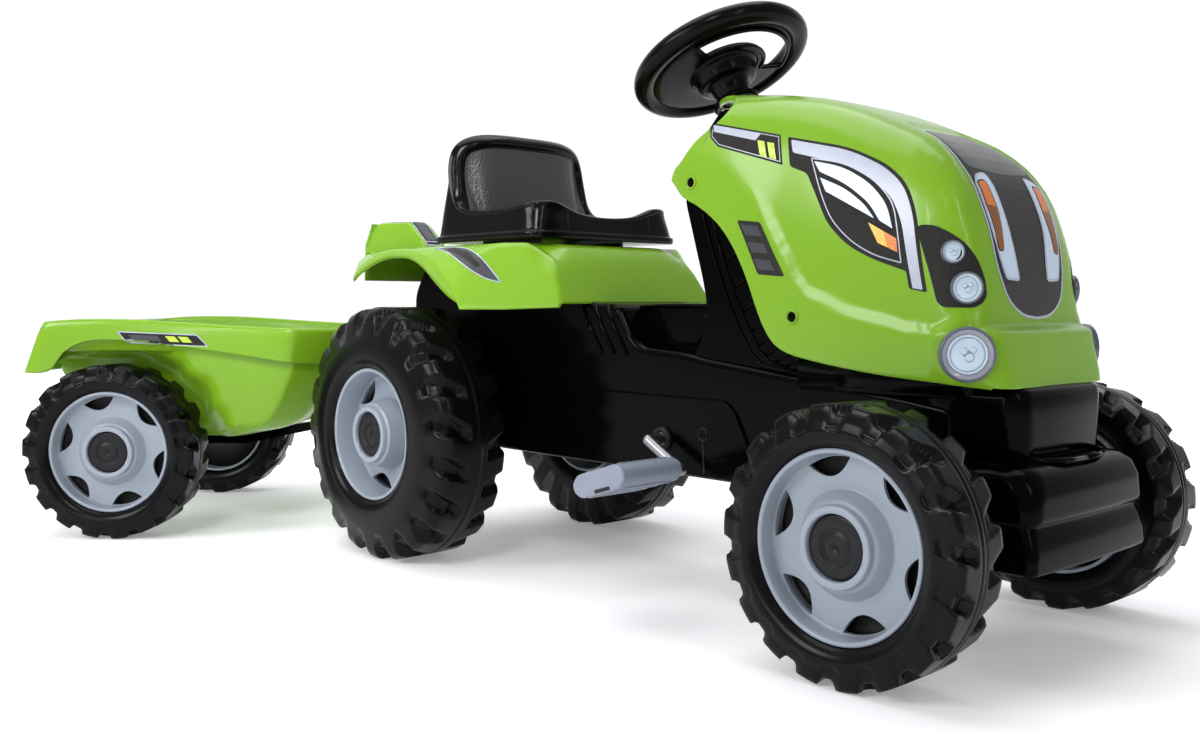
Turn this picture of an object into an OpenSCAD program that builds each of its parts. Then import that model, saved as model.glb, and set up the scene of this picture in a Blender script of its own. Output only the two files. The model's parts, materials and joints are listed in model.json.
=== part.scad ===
// Child's pedal tractor with a detachable two-wheel trailer.
// Millimetres, +X forward, +Y to the rider's left, +Z up, floor at z = 0.
// Tractor sub-parts are drawn from the rear axle's centre on the floor, trailer sub-parts
// from the hitch pin, and both are moved so that the whole object's box is centred.

/* [Tractor] */
// Distance between the front and rear axles
wheelbase = 625; // [600:5:650]
// Outside radius of the front and trailer tyres
front_r = 107; // [104:1:108]
// Width of the front and trailer tyres
front_w = 63; // [60:1:64]
// Outside radius of the rear tyres
rear_r = 142; // [138:1:144]
// Width of the rear tyres
rear_w = 92; // [88:1:93]
// Distance from the centre plane to the outer side of the front tyres
front_track = 207; // [206:1:210]
// Distance from the centre plane to the outer side of the rear tyres
rear_track = 210; // [209:1:214]
// Radius of every wheel's rim
rim_r = 72.5; // [71:0.5:73]
// Half of the chassis width
chassis_half = 76; // [74:1:78]
// Half of the hood's greatest width
hood_half = 104; // [100:1:106]

/* [Steering] */
// Angle of the steering column from the vertical
column_tilt = 26.1; // [25.6:0.1:26.6]
// Radius of the steering wheel at the middle of its rim
steering_r = 81; // [76:1:84]
// Radius of the steering wheel's rim section
grip_r = 10.5; // [9:0.5:11]

/* [Pedals] */
// Throw of the pedal crank
crank_throw = 50; // [44:1:54]
// Angle of the right crank arm below the horizontal
crank_drop = 30; // [20:1:40]
// Nose-up pitch of the pedals
pedal_pitch = 17; // [10:1:24]

/* [Trailer] */
// Distance from the hitch pin to the trailer axle
trailer_reach = 319; // [315:1:325]
// Distance from the centre plane to the outer side of the trailer tyres
trailer_track = 213; // [212:1:216]
// Angle between the trailer and the tractor, seen from above
trailer_yaw = 44; // [40:1:48]
// Half of the tub's width at its rim
tub_half = 186; // [182:1:188]

/* [Hidden] */
$fn = 48;

wall = 3;
run = 0.05;
gap = 0.3;
axle_r = 6;
cap_r = 25;
cap_drop = 8.5;
hitch_x = -236;
hitch_z = 142;
nose_x = wheelbase + 72;
tread_edge = 6;
rear_shoulder = 22;
lug_fill = 0.62;
tub_tail = trailer_reach + 119;

// Rest-pose box, used to centre the object
max_x = wheelbase + front_r;
min_x = hitch_x - (trailer_reach + front_r) * cos(trailer_yaw)
    - (trailer_track - tread_edge) * sin(trailer_yaw);
max_y = rear_track;
min_y = -(trailer_reach + front_r) * sin(trailer_yaw)
    - (trailer_track - tread_edge) * cos(trailer_yaw);
centre = [(max_x + min_x) / 2, (max_y + min_y) / 2, 0];

// Steering geometry
wheel_centre = [337, 0, 530];
column_len = 456;
column_r = 7;
column_throw = 36.4;
kingpin_y = 125;
kingpin_r = 5;
arm_len = 59.5;
arm_x = wheelbase - arm_len;
tie_z = 84;
tie_t = 6;
pin_r = 4;
pin_play = 0.55;
column_foot_z = wheel_centre[2] - column_len * cos(column_tilt) - column_throw * sin(column_tilt);
column_pin_len = (column_foot_z - tie_z + 3) / cos(column_tilt);
tie_pin_x = wheel_centre[0] - column_throw / cos(column_tilt)
    + (wheel_centre[2] - tie_z - tie_t / 2) * tan(column_tilt);

// Crank and drive geometry
crank_x = 333;
crank_z = 155;
crank_r = 5.5;
chain_y = 24;
chain_pitch = 6.35;
crank_teeth = 21;
rear_teeth = 14;
crank_pitch_r = chain_pitch / (2 * sin(180 / crank_teeth));
rear_pitch_r = chain_pitch / (2 * sin(180 / rear_teeth));

green = [0.42, 0.74, 0.10];
black = [0.05, 0.05, 0.055];
rim_grey = [0.62, 0.67, 0.74];
steel = [0.60, 0.61, 0.63];

// ---- placing ----

module tractor() {
    translate(-centre) children();
}

module trailer() {
    translate(-centre) translate([hitch_x, 0, 0]) rotate([0, 0, trailer_yaw]) children();
}

// Turns a solid of revolution drawn about +Z into one about the outward axle direction.
// side is -1 for the right wheel and 1 for the left one; inner is the inner face's distance.
module outward(side, inner) {
    translate([0, side * inner, 0]) rotate([-90 * side, 0, 0]) children();
}

module on_column() {
    translate(wheel_centre) rotate([0, -column_tilt, 0]) children();
}

// Extrudes an x-z outline to both sides of the centre plane.
module slab(points, half) {
    translate([0, half, 0]) rotate([90, 0, 0]) linear_extrude(2 * half) polygon(points);
}

module tube(outer, inner, length) {
    difference() {
        cylinder(r = outer, h = length);
        translate([0, 0, -1]) cylinder(r = inner, h = length + 2);
    }
}

// ---- outlines ----

function left_normal(a, b) = [-(b[1] - a[1]), b[0] - a[0]] / norm(b - a);
// Moves each side of a counter-clockwise outline inward by d.
function inset(p, d) = [
    for (i = [0 : len(p) - 1])
        let (n = len(p),
            n1 = left_normal(p[(i + n - 1) % n], p[i]),
            n2 = left_normal(p[i], p[(i + 1) % n]))
        p[i] + (n1 + n2) * d / (1 + n1 * n2)
];
function mirrored(p) = concat(p, [for (i = [len(p) - 1 : -1 : 0]) [p[i][0], -p[i][1]]]);

chassis_side = [[-96, 132], [60, 122], [440, 119], [458, 134], [648, 134], [648, 212],
    [500, 222], [380, 236], [290, 236], [262, 286], [229, 287], [226, 284], [202, 284], [170, 338],
    [-70, 338],
    [-96, 300]];

column_side = [[372, 238], [500, 225], [512, 244], [500, 262], [455, 345], [470, 440],
    [440, 462], [396, 450], [362, 398], [378, 308], [381, 282]];

hood_side = [[nose_x, 226], [nose_x - 10, 268], [nose_x - 18, 276], [nose_x - 21, 300],
    [nose_x - 24, 327], [nose_x - 32, 353], [nose_x - 43, 384], [nose_x - 56, 402],
    [nose_x - 75, 421], [580, 443], [528, 461], [475, 474], [430, 481],
    [366, 487], [352, 482], [362, 408], [372, 395], [417, 377], [442, 345], [459, 320],
    [476, 282], [498, 252], [520, 243], [600, 233], [nose_x - 4, 224]];
hood_plan = mirrored([[350, -84], [362, -98], [392, -hood_half], [560, -hood_half],
    [nose_x - 72, -99], [nose_x - 33, -91], [nose_x - 11, -80], [nose_x, -74]]);
hood_front = mirrored([[486, 34], [484, 60], [474, 80], [452, 93], [415, 101], [330, 105],
    [222, 105]]);

saddle_side = [[-133, 316], [-124, 362], [-112, 384], [-100, 386], [-44, 384], [-8, 352],
    [176, 352], [196, 338], [224, 290]];
arch_side = concat([for (a = [0 : 9]) let (t = a / 9)
    [-131 + 281 * t, 316 * (1 - t) + 285 * t + 42 * sin(180 * pow(t, 0.9))]], [[226, 290]]);
saddle_plan = mirrored([[-135, -139], [152, -189], [226, -120]]);

seat_side = [[172, 357], [168, 390], [150, 396], [100, 392], [66, 402], [56, 450],
    [46, 478], [34, 485], [22, 480], [10, 440], [-2, 357]];

hopper_side = [[-415, 200], [-340, 119], [-180, 119], [-122, 129], [-88, 153], [-52, 208],
    [-46, 226], [-415, 226]];
tray_side = [[-tub_tail + 10, 222], [-46, 218], [-40, 257], [-200, 262], [-350, 269],
    [-tub_tail + 22, 266]];
tub_plan = mirrored([[-tub_tail, -tub_half], [-88, -tub_half], [-40, -136]]);

// ---- wheels ----

function lug_outline(count, base, tip, fill) = [
    for (i = [0 : count - 1])
        for (k = [[-fill, base], [-fill * 0.72, tip], [fill * 0.72, tip], [fill, base]])
            let (a = (i + 0.5) * 360 / count + k[0] * 180 / count - 90)
            k[1] * [cos(a), sin(a)]
];

// Corner radius of a lug whose flat outer side lies at the tyre's outside radius.
function lug_corner(tip, count) = tip / cos(0.72 * lug_fill * 180 / count);

module tyre(outer, width, count, shoulder) {
    depth = outer * 0.065;
    base = outer - depth;
    row = (width - tread_edge - shoulder) * 0.48;
    side_r = base - 5 - shoulder * 0.5;
    color(black) {
        rotate_extrude() polygon([[rim_r, 4], [rim_r + 6, 0.5], [base - 12, 0], [base - 3, 5],
            [base, 12], [base, width - shoulder - 4], [base - 3, width - shoulder * 0.7],
            [side_r, width], [rim_r + 6, width - 0.5], [rim_r, width - 4], [rim_r, width - 9],
            [side_r - 4, width - 5], [base - 6, width - shoulder - 6], [base - 6, 14],
            [base - 13, 5], [rim_r, 9]]);
        translate([0, 0, tread_edge])
            tread_row(count, base - 2, outer, row);
        translate([0, 0, width - shoulder - row])
            rotate([0, 0, 180 / count]) tread_row(count, base - 2, outer, row);
    }
}

// One row of lugs: a toothed ring round the carcass.
module tread_row(count, base, tip, width) {
    difference() {
        linear_extrude(width) rotate([0, 0, 90 - 180 / count])
            polygon(lug_outline(count, base, lug_corner(tip, count), lug_fill));
        translate([0, 0, -1]) cylinder(r = base - 5, h = width + 2);
    }
}

function lens(length, half_width) = [
    for (i = [0 : 11])
        let (a = i * 30)
        [half_width * cos(a) * abs(cos(a)), length * sin(a)]
];

module rim(width, face, slots) {
    hub_r = 14;
    lip = rim_r - 3.5;
    seat_z = width - 9 - cap_drop;
    color(rim_grey) difference() {
        union() {
            translate([0, 0, 3]) tube(rim_r - run, lip, width - 6);
            rotate_extrude() polygon([[hub_r - 1, face - 10], [hub_r - 1, face - 14],
                [lip + 1, face - 6], [lip + 1, face - 2], [46, face - 4], [31, face - 2],
                [29, width - 4], [cap_r + gap, width - 4], [cap_r + gap, seat_z],
                [hub_r - 1, seat_z], [hub_r - 1, face - 10]]);
            translate([0, 0, 2]) cylinder(r = hub_r, h = seat_z - 3);
        }
        cylinder(r = axle_r + run, h = width);
        translate([0, 0, seat_z - 5]) cylinder(r = 12, h = 10);
        for (i = [0 : slots - 1])
            rotate([0, 0, i * 360 / slots]) translate([60, 0, face - 20])
                linear_extrude(30) polygon(lens(15, 5.5));
    }
}

module cap(width) {
    color(black) translate([0, 0, width - 8.5 - cap_drop]) difference() {
        cylinder(r = cap_r, h = 10);
        translate([0, 0, -1]) cylinder(r = 17, h = 4);
        translate([0, 0, 9]) tube(12, 10, 2);
    }
}

module clip(width) {
    color(steel) translate([0, 0, width - 13.6 - cap_drop]) tube(10, axle_r + run, 2);
}

module front_wheel_place(side) {
    tractor() translate([wheelbase, 0, front_r]) outward(side, front_track - front_w) children();
}

module rear_wheel_place(side) {
    tractor() translate([0, 0, rear_r]) outward(side, rear_track - rear_w) children();
}

module trailer_wheel_place(side) {
    trailer() translate([-trailer_reach, 0, front_r])
        outward(side, trailer_track - front_w) children();
}

module front_tyre_right() { front_wheel_place(-1) tyre(front_r, front_w, 18, tread_edge); }
module front_tyre_left() { front_wheel_place(1) tyre(front_r, front_w, 18, tread_edge); }
module front_rim_right() { front_wheel_place(-1) rim(front_w, front_w - 18, 6); }
module front_rim_left() { front_wheel_place(1) rim(front_w, front_w - 18, 6); }
module front_cap_right() { front_wheel_place(-1) cap(front_w); }
module front_cap_left() { front_wheel_place(1) cap(front_w); }
module rear_tyre_right() { rear_wheel_place(-1) tyre(rear_r, rear_w, 20, rear_shoulder); }
module rear_tyre_left() { rear_wheel_place(1) tyre(rear_r, rear_w, 20, rear_shoulder); }
module rear_rim_right() { rear_wheel_place(-1) rim(rear_w, rear_w - 26, 6); }
module rear_rim_left() { rear_wheel_place(1) rim(rear_w, rear_w - 26, 6); }
module rear_cap_right() { rear_wheel_place(-1) cap(rear_w); }
module rear_cap_left() { rear_wheel_place(1) cap(rear_w); }
module trailer_tyre_right() { trailer_wheel_place(-1) tyre(front_r, front_w, 18, tread_edge); }
module trailer_tyre_left() { trailer_wheel_place(1) tyre(front_r, front_w, 18, tread_edge); }
module trailer_rim_right() { trailer_wheel_place(-1) rim(front_w, front_w - 18, 6); }
module trailer_rim_left() { trailer_wheel_place(1) rim(front_w, front_w - 18, 6); }
module trailer_cap_right() { trailer_wheel_place(-1) cap(front_w); }
module trailer_cap_left() { trailer_wheel_place(1) cap(front_w); }

// ---- body ----

module cross_bore(x, z, r) {
    translate([x, -120, z]) rotate([-90, 0, 0]) cylinder(r = r, h = 240);
}

module chassis() {
    bush_r = 11;
    spine = [[258, 230], [369, 230], [371, 238], [380, 282], [380, 286], [258, 286]];
    color(black) tractor() difference() {
        union() {
            slab(chassis_side, chassis_half);
            slab(spine, 45);
        }
        slab(inset(chassis_side, 4), chassis_half - 4);
        slab([[262, 226], [365, 226], [367, 238], [375, 282], [262, 282]], 41);
        cross_bore(0, rear_r, bush_r);
        cross_bore(crank_x, crank_z, bush_r);
        column_tunnel(column_r + 9);
        translate([-26, chain_y - 6, 100]) cube([116, 12, 36]);
    }
}

module column_tunnel(r) {
    on_column() translate([0, 0, -column_len - 110]) cylinder(r = r, h = column_len + 95);
}

module crank_cover(side) {
    outline = [[104, 124], [436, 122], [446, 134], [424, 190], [410, 198], [104, 190]];
    color(black) tractor() difference() {
        translate([0, side > 0 ? chassis_half + wall : -chassis_half, 0]) rotate([90, 0, 0])
            linear_extrude(wall) polygon(outline);
        cross_bore(crank_x, crank_z, 13);
    }
}

module crank_cover_right() { crank_cover(-1); }
module crank_cover_left() { crank_cover(1); }

module dash_column() {
    half = 70;
    color(black) tractor() difference() {
        slab(column_side, half);
        slab(inset(column_side, 4), half - 4);
        column_tunnel(column_r + 9);
    }
}

module front_weight() {
    upper = mirrored([[649, -73], [688, -74], [702, -60], [705, -30]]);
    lower = mirrored([[656, -64], [672, -90], [724, -97], [730, -80], [731, -30]]);
    color(black) tractor() difference() {
        union() {
            translate([0, 0, 162]) linear_extrude(58) polygon(upper);
            translate([0, 0, 84]) linear_extrude(82) polygon(lower);
        }
        translate([590, -66, 160]) cube([70, 132, 62]);
        translate([660, -60, 64]) cube([62, 120, 94]);
    }
}

module hood_solid(side, plan, front) {
    intersection() {
        slab(side, 140);
        linear_extrude(600) polygon(plan);
        translate([300, 0, 0]) rotate([90, 0, 90]) linear_extrude(500)
            polygon([for (p = front) [p[1], p[0]]]);
    }
}

module hood() {
    open_side = concat([[nose_x, 180]], [for (i = [1 : 13]) hood_side[i]],
        [[340, 480], [340, 380], [300, 180]]);
    color(green) tractor() difference() {
        hood_solid(hood_side, hood_plan, hood_front);
        hood_solid(inset(open_side, wall), inset(hood_plan, wall),
            inset([for (p = hood_front) [p[0] < 230 ? 150 : p[0], p[1]]], wall));
        column_tunnel(20);
        intersection() {
            slab([[330, 404], [364, 404], [428, 464], [428, 510], [330, 510]], 120);
            linear_extrude(600) polygon([[330, 30], [352, 30], [428, 92], [428, 120], [330, 120]]);
        }
        intersection() {
            slab([[330, 404], [364, 404], [428, 464], [428, 510], [330, 510]], 120);
            linear_extrude(600) polygon([[330, -120], [428, -120], [428, -92], [352, -30],
                [330, -30]]);
        }
        hood_screw_places() cylinder(r = 3, h = 30, center = true);
    }
}

module hood_screw_places() {
    for (side = [-1, 1])
        for (p = [[404, 398], [512, 276]])
            translate([p[0], side * (hood_half - 6), p[1]]) rotate([90, 0, 0]) children();
}

module hood_screws() {
    color(steel) tractor() hood_screw_places() cylinder(r = 3 - run, h = 20, center = true);
}

module lamp_places() {
    for (side = [-1, 1])
        translate([667, side * 90, 249]) rotate([0, 0, side * 63]) rotate([0, 90, 0]) children();
}

module lamp_bezels() {
    color(rim_grey) tractor() lamp_places() translate([0, 0, 1.5]) tube(24, 17.5, 6);
}

module lamp_lenses() {
    color([0.9, 0.92, 0.95]) tractor() lamp_places()
        translate([0, 0, 1.5]) cylinder(r = 17.5 - run, h = 5);
}

module saddle() {
    deck = concat(saddle_side, [for (i = [len(saddle_side) - 1 : -1 : 0])
        saddle_side[i] - [i == 0 ? -wall : 0, i == 0 ? 0 : wall * 1.3]]);
    arch = concat(arch_side, [for (i = [len(arch_side) - 1 : -1 : 0])
        arch_side[i] - [0, wall * 1.3]]);
    web = [[-130.5, 313.5], [150, 290], [176, 347.5], [-8, 348.2], [-44, 380], [-100, 382],
        [-110, 380], [-121, 359]];
    well = 90;
    color(green) tractor() difference() {
        intersection() {
            union() {
                slab(deck, 121);
                translate([-119, -well - 3, 344]) cube([128, 2 * well + 6, 4]);
                for (side = [-1, 1]) {
                    translate([0, side * 155.5, 0]) slab(arch, 36);
                    translate([0, side * 119.2, 0]) slab(web, 1.5);
                    translate([0, side * (well + 1.5), 0])
                        slab([for (p = web) [p[0] + 1, max(p[1], 345)]], 1.5);
                    translate([20, side * 67.5 - 1.5, 350]) cube([140, 3, 5.6]);
                }
            }
            linear_extrude(500) polygon(saddle_plan);
        }
        translate([-116, -well, 349]) cube([112, 2 * well, 60]);
        for (side = [-1, 1])
            translate([173, side * 97, 346]) rotate([0, 45, 0]) cube([16, 20, 16], center = true);
    }
}

module seat() {
    half = 109;
    color(black) tractor() difference() {
        union() {
            slab(seat_side, half);
            slab([[-4, 356], [175, 356], [175, 364], [-4, 364]], half + 4);
        }
        slab([[30, 368], [156, 366], [190, 420], [190, 520], [44, 520], [36, 470]], half - 14);
        for (side = [-1, 1])
            translate([0, side * 104, 484]) rotate([side * 45, 0, 0])
                cube([200, 14, 30], center = true);
        slab([[168, 350], [164, 362], [8, 362], [4, 350]], half - 4);
    }
    color(black) tractor() for (side = [-1, 1])
        translate([30, side * 63 - 2.7, 352 + gap]) cube([100, 5.4, 12]);
}

// ---- chassis hardware ----

module front_beam() {
    half_x = 13;
    low = front_r - 22;
    ear = 8;
    color(black) tractor() difference() {
        union() {
            translate([wheelbase - half_x, -108, low]) cube([2 * half_x, 216, 44]);
            for (side = [-1, 1])
                for (z = [low, front_r + 22 - ear])
                    translate([wheelbase, side * kingpin_y, z]) {
                        cylinder(r = half_x - 1, h = ear);
                        translate([-half_x + 1, side > 0 ? -18 : 0, 0])
                            cube([2 * half_x - 2, 18, ear]);
                    }
            translate([wheelbase - 30, -40, front_r + 14]) cube([52, 80, 13]);
        }
        for (side = [-1, 1])
            translate([wheelbase, side * kingpin_y, low - 1]) cylinder(r = kingpin_r, h = 50);
    }
}

module kingpins() {
    color(steel) tractor() for (side = [-1, 1])
        translate([wheelbase, side * kingpin_y, front_r - 24]) {
            cylinder(r = kingpin_r, h = 48);
            translate([0, 0, 46]) cylinder(r = 8, h = 3);
        }
}

module bush_pair(x, z, r) {
    for (side = [-1, 1])
        translate([x, side * (chassis_half - 6), z]) rotate([-90 * side, 0, 0]) {
            tube(11, r + run, 6);
            translate([0, 0, 6 + wall]) tube(r + 6.5, r + run, 2);
            tube(r + 4, r + run, 11);
        }
}

module rear_bushes() { color("ivory") tractor() bush_pair(0, rear_r, axle_r); }
module crank_bushes() { color(steel) tractor() bush_pair(crank_x, crank_z, crank_r); }

module column_bushes() {
    color("ivory") tractor() on_column()
        for (s = [116, column_len - 14])
            translate([0, 0, -s]) tube(column_r + 9, column_r + run, 12);
}

module loop_outline(grow) {
    r1 = crank_pitch_r + grow;
    r2 = rear_pitch_r + grow;
    span = norm([crank_x, crank_z - rear_r]);
    lean = asin((r1 - r2) / span);
    base = atan2(crank_z - rear_r, crank_x);
    translate([crank_x, crank_z]) circle(r = r1);
    translate([0, rear_r]) circle(r = r2);
    polygon([for (k = [[0, r2, -1], [1, r1, -1], [1, r1, 1], [0, r2, 1]])
        k[0] * [crank_x, crank_z] + (1 - k[0]) * [0, rear_r]
            + k[1] * [cos(base + k[2] * (90 + lean)), sin(base + k[2] * (90 + lean))]]);
}

module drive_chain() {
    color(steel) tractor() translate([0, chain_y + 3, 0]) rotate([90, 0, 0])
        linear_extrude(6) difference() {
            loop_outline(3);
            loop_outline(-1);
        }
}

module sprocket(teeth, pitch_r, bore) {
    tip = pitch_r - 1.6;
    difference() {
        union() {
            linear_extrude(3)
                polygon([for (i = [0 : 2 * teeth - 1])
                    (i % 2 == 0 ? tip : tip - 3) * [cos(i * 180 / teeth), sin(i * 180 / teeth)]]);
            translate([0, 0, -5]) cylinder(r = bore + 5, h = 13);
        }
        translate([0, 0, -6]) cylinder(r = bore, h = 16);
    }
}

module crank_sprocket() {
    color(steel) tractor() translate([crank_x, chain_y + 1.5, crank_z]) rotate([90, 0, 0])
        sprocket(crank_teeth, crank_pitch_r, crank_r);
}

module rear_sprocket() {
    color(steel) tractor() translate([0, chain_y + 1.5, rear_r]) rotate([90, 0, 0])
        sprocket(rear_teeth, rear_pitch_r, axle_r);
}

module hitch_bracket() {
    side = [[-96, 122], [-96, 164], [-112, 158], [-252, 156], [-252, 128], [-112, 126]];
    color(black) tractor() difference() {
        slab([for (i = [5 : -1 : 0]) side[i]], 16);
        translate([-262, -20, 134]) cube([60, 40, 16]);
        translate([hitch_x, 0, 100]) cylinder(r = axle_r + run, h = 80);
        hitch_screw_places() cylinder(r = 3, h = 60, center = true);
    }
}

module hitch_screw_places() {
    for (z = [134, 152])
        translate([-104, 0, z]) rotate([90, 0, 0]) children();
}

module hitch_bracket_screws() {
    color(steel) tractor() hitch_screw_places() cylinder(r = 3 - run, h = 38, center = true);
}

module hitch_pin() {
    color(steel) tractor() translate([hitch_x, 0, 118]) {
        cylinder(r = axle_r, h = 44);
        translate([0, 0, 39]) cylinder(r = 12, h = 8);
    }
}

// ---- steering ----

module steering_wheel() {
    inner = 42;
    outer = steering_r - grip_r - 3;
    crescent = concat([for (a = [-70 : 10 : 70]) outer * [cos(a), sin(a)]],
        [for (a = [70 : -10 : -70]) inner * [cos(a), sin(a)]]);
    color(black) tractor() on_column() difference() {
        union() {
            rotate_extrude() translate([steering_r, 0]) circle(r = grip_r);
            translate([0, 0, -16]) cylinder(r = 31, h = 16);
            translate([0, 0, -46]) cylinder(r1 = 17, r2 = 27, h = 31);
            difference() {
                translate([0, 0, -9]) cylinder(r = steering_r - 2, h = 5);
                linear_extrude(40, center = true) polygon(crescent);
            }
        }
        translate([0, 0, -47]) cylinder(r = column_r, h = 33);
        translate([0, 0, -8]) cylinder(r = 20, h = 12);
    }
}

module horn_button() {
    color(black) tractor() on_column() translate([0, 0, -4.5]) {
        cylinder(r = 20 - gap, h = 5);
        translate([0, 0, 4]) cylinder(r1 = 18, r2 = 15, h = 3.5);
    }
}

module steering_column() {
    color(steel) tractor() on_column() {
        translate([0, 0, -column_len]) cylinder(r = column_r, h = column_len - 14);
        translate([0, 0, -column_len]) rotate([0, -90, 0])
            cylinder(r = column_r - 1, h = column_throw);
        translate([0, 0, -column_len]) sphere(r = column_r);
        translate([-column_throw, 0, -column_len]) sphere(r = column_r - 1);
        translate([-column_throw, 0, -column_len - column_pin_len])
            cylinder(r = pin_r, h = column_pin_len);
    }
}

module slot_cut(x, y, half_x, r) {
    translate([x - half_x, y - r, tie_z - 1]) cube([2 * half_x, 2 * r, tie_t + 2]);
}

module tie_rod() {
    play = pin_r + pin_play;
    color(steel) tractor() difference() {
        translate([0, 0, tie_z]) linear_extrude(tie_t)
            polygon(mirrored([[tie_pin_x - 13, -14], [tie_pin_x + 24, -14],
                [arm_x - 10, -(kingpin_y + 10)], [arm_x + 11, -(kingpin_y + 10)],
                [arm_x + 11, -20]]));
        slot_cut(tie_pin_x + 3.3, 0, 10.8, play);
        for (side = [-1, 1])
            slot_cut(arm_x + 2, side * kingpin_y, 6.5, play);
    }
}

module knuckle(side) {
    bottom = front_r - 22 + 8 + gap;
    height = 28 - 2 * gap;
    color(steel) tractor() translate([wheelbase, side * kingpin_y, 0]) difference() {
        union() {
            translate([0, 0, bottom]) cylinder(r = 11, h = height);
            translate([0, 0, front_r]) rotate([-90 * side, 0, 0])
                cylinder(r = 10, h = front_track - front_w + 2 - gap - kingpin_y);
            translate([-arm_len, -6, tie_z + tie_t + 4]) cube([arm_len, 12, 6]);
            translate([-arm_len, 0, tie_z - 2]) cylinder(r = pin_r, h = 12);
        }
        translate([0, 0, bottom - 1]) cylinder(r = kingpin_r + run, h = height + 2);
        translate([0, 0, front_r]) rotate([-90 * side, 0, 0])
            translate([0, 0, 7]) cylinder(r = axle_r, h = 20);
    }
}

module knuckle_right() { knuckle(-1); }
module knuckle_left() { knuckle(1); }

module stub_axle(side) {
    color(steel) tractor() translate([wheelbase, side * kingpin_y, front_r])
        rotate([-90 * side, 0, 0]) translate([0, 0, 7]) {
            cylinder(r = axle_r, h = front_track - kingpin_y - 7 - 8.7 - cap_drop);
            translate([0, 0, front_track - kingpin_y - 7 - 13.6 - cap_drop]) cylinder(r = 10, h = 2);
        }
}

module stub_axle_right() { stub_axle(-1); }
module stub_axle_left() { stub_axle(1); }

// ---- pedals and rear axle ----

crank_dx = crank_throw * cos(crank_drop);
crank_dz = -crank_throw * sin(crank_drop);
arm_y = chassis_half + wall + 20;
pedal_in = 132;
pedal_w = 76;

module crank_rod() {
    color(steel) tractor() translate([crank_x, 0, crank_z]) {
        translate([0, -arm_y, 0]) rotate([-90, 0, 0]) cylinder(r = crank_r, h = 2 * arm_y);
        for (side = [-1, 1]) {
            tip = [-side * crank_dx, side * arm_y, -side * crank_dz];
            translate([0, side * arm_y, 0]) sphere(r = crank_r);
            translate([0, side * arm_y, 0])
                rotate([0, side < 0 ? 90 + crank_drop : crank_drop - 90, 0])
                    cylinder(r = crank_r, h = crank_throw);
            translate(tip) sphere(r = crank_r);
            translate(tip) rotate([-90 * side, 0, 0])
                cylinder(r = crank_r, h = pedal_in + pedal_w - 10 - arm_y);
        }
    }
}

module pedal(side) {
    long = 68;
    thick = 22;
    corner = 8;
    color(rim_grey) tractor()
        translate([crank_x - side * crank_dx, side * pedal_in, crank_z - side * crank_dz])
            rotate([0, -pedal_pitch, 0]) difference() {
                rotate([-90 * side, 0, 0]) linear_extrude(pedal_w)
                    polygon([[-long / 2, -thick / 2 + corner], [-long / 2 + corner, -thick / 2],
                        [long / 2 - corner, -thick / 2], [long / 2, -thick / 2 + corner],
                        [long / 2, thick / 2 - corner], [long / 2 - corner, thick / 2],
                        [-long / 2 + corner, thick / 2], [-long / 2, thick / 2 - corner]]);
                rotate([-90 * side, 0, 0]) translate([0, 0, -1])
                    cylinder(r = crank_r + run, h = pedal_w - 8);
            }
}

module pedal_right() { pedal(-1); }
module pedal_left() { pedal(1); }

module rear_axle() {
    half = rear_track - 8.7 - cap_drop;
    color(steel) tractor() translate([0, -half, rear_r]) rotate([-90, 0, 0])
        cylinder(r = axle_r, h = 2 * half);
}

module axle_clips() {
    for (side = [-1, 1])
        rear_wheel_place(side) clip(rear_w);
}

// ---- trailer ----

module tub_solid(hopper, tray, plan, hopper_half, tray_half) {
    slab(hopper, hopper_half);
    intersection() {
        slab(tray, tray_half);
        linear_extrude(400) polygon(plan);
    }
}

module trailer_tub() {
    half = trailer_track - front_w - 14;
    lip = [[-tub_tail, 204], [-tub_tail + 12, 204], [-tub_tail + 26, 232],
        [-tub_tail + 30, 266], [-tub_tail + 22, 266], [-tub_tail + 16, 240]];
    inner_tray = [[-tub_tail - 30, 226], [-50, 222], [-44, 300], [-tub_tail - 30, 300]];
    inner_hopper = [[-406, 232], [-406, 204], [-338, 122], [-181, 122], [-125, 133],
        [-92, 156], [-57, 209], [-52, 232]];
    color(green) trailer() difference() {
        union() {
            tub_solid(hopper_side, tray_side, tub_plan, half, tub_half);
            slab(lip, tub_half);
        }
        slab(inner_hopper, half - wall);
        intersection() {
            slab(inner_tray, tub_half - wall);
            linear_extrude(400) polygon(mirrored([[-tub_tail + 24, -tub_half + wall],
                [-89, -tub_half + wall], [-44, -136 + wall]]));
        }
    }
}

module trailer_frame() {
    side = [[-12, 134.4], [-30, 134.4], [-60, 128], [-215, 96], [-338, 96], [-338, 118.7], [-180, 118.7],
        [-124, 126], [-90, 149], [-12, 149.6]];
    color(black) trailer() difference() {
        union() {
            slab([for (i = [9 : -1 : 0]) side[i]], 11);
            translate([0, 0, 134.4]) cylinder(r = 15, h = 15.2);
            for (s = [-1, 1])
                translate([-trailer_reach - 12, s * 126 - 4, 97]) cube([24, 8, 20]);
        }
        translate([0, 0, 120]) cylinder(r = axle_r + run, h = 40);
        translate([-trailer_reach, -150, front_r]) rotate([-90, 0, 0])
            cylinder(r = axle_r, h = 300);
    }
}

module trailer_axle() {
    half = trailer_track - 8.7 - cap_drop;
    color(steel) trailer() translate([-trailer_reach, -half, front_r]) rotate([-90, 0, 0])
        cylinder(r = axle_r, h = 2 * half);
}

module trailer_clips() {
    for (side = [-1, 1])
        trailer_wheel_place(side) clip(front_w);
}

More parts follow.
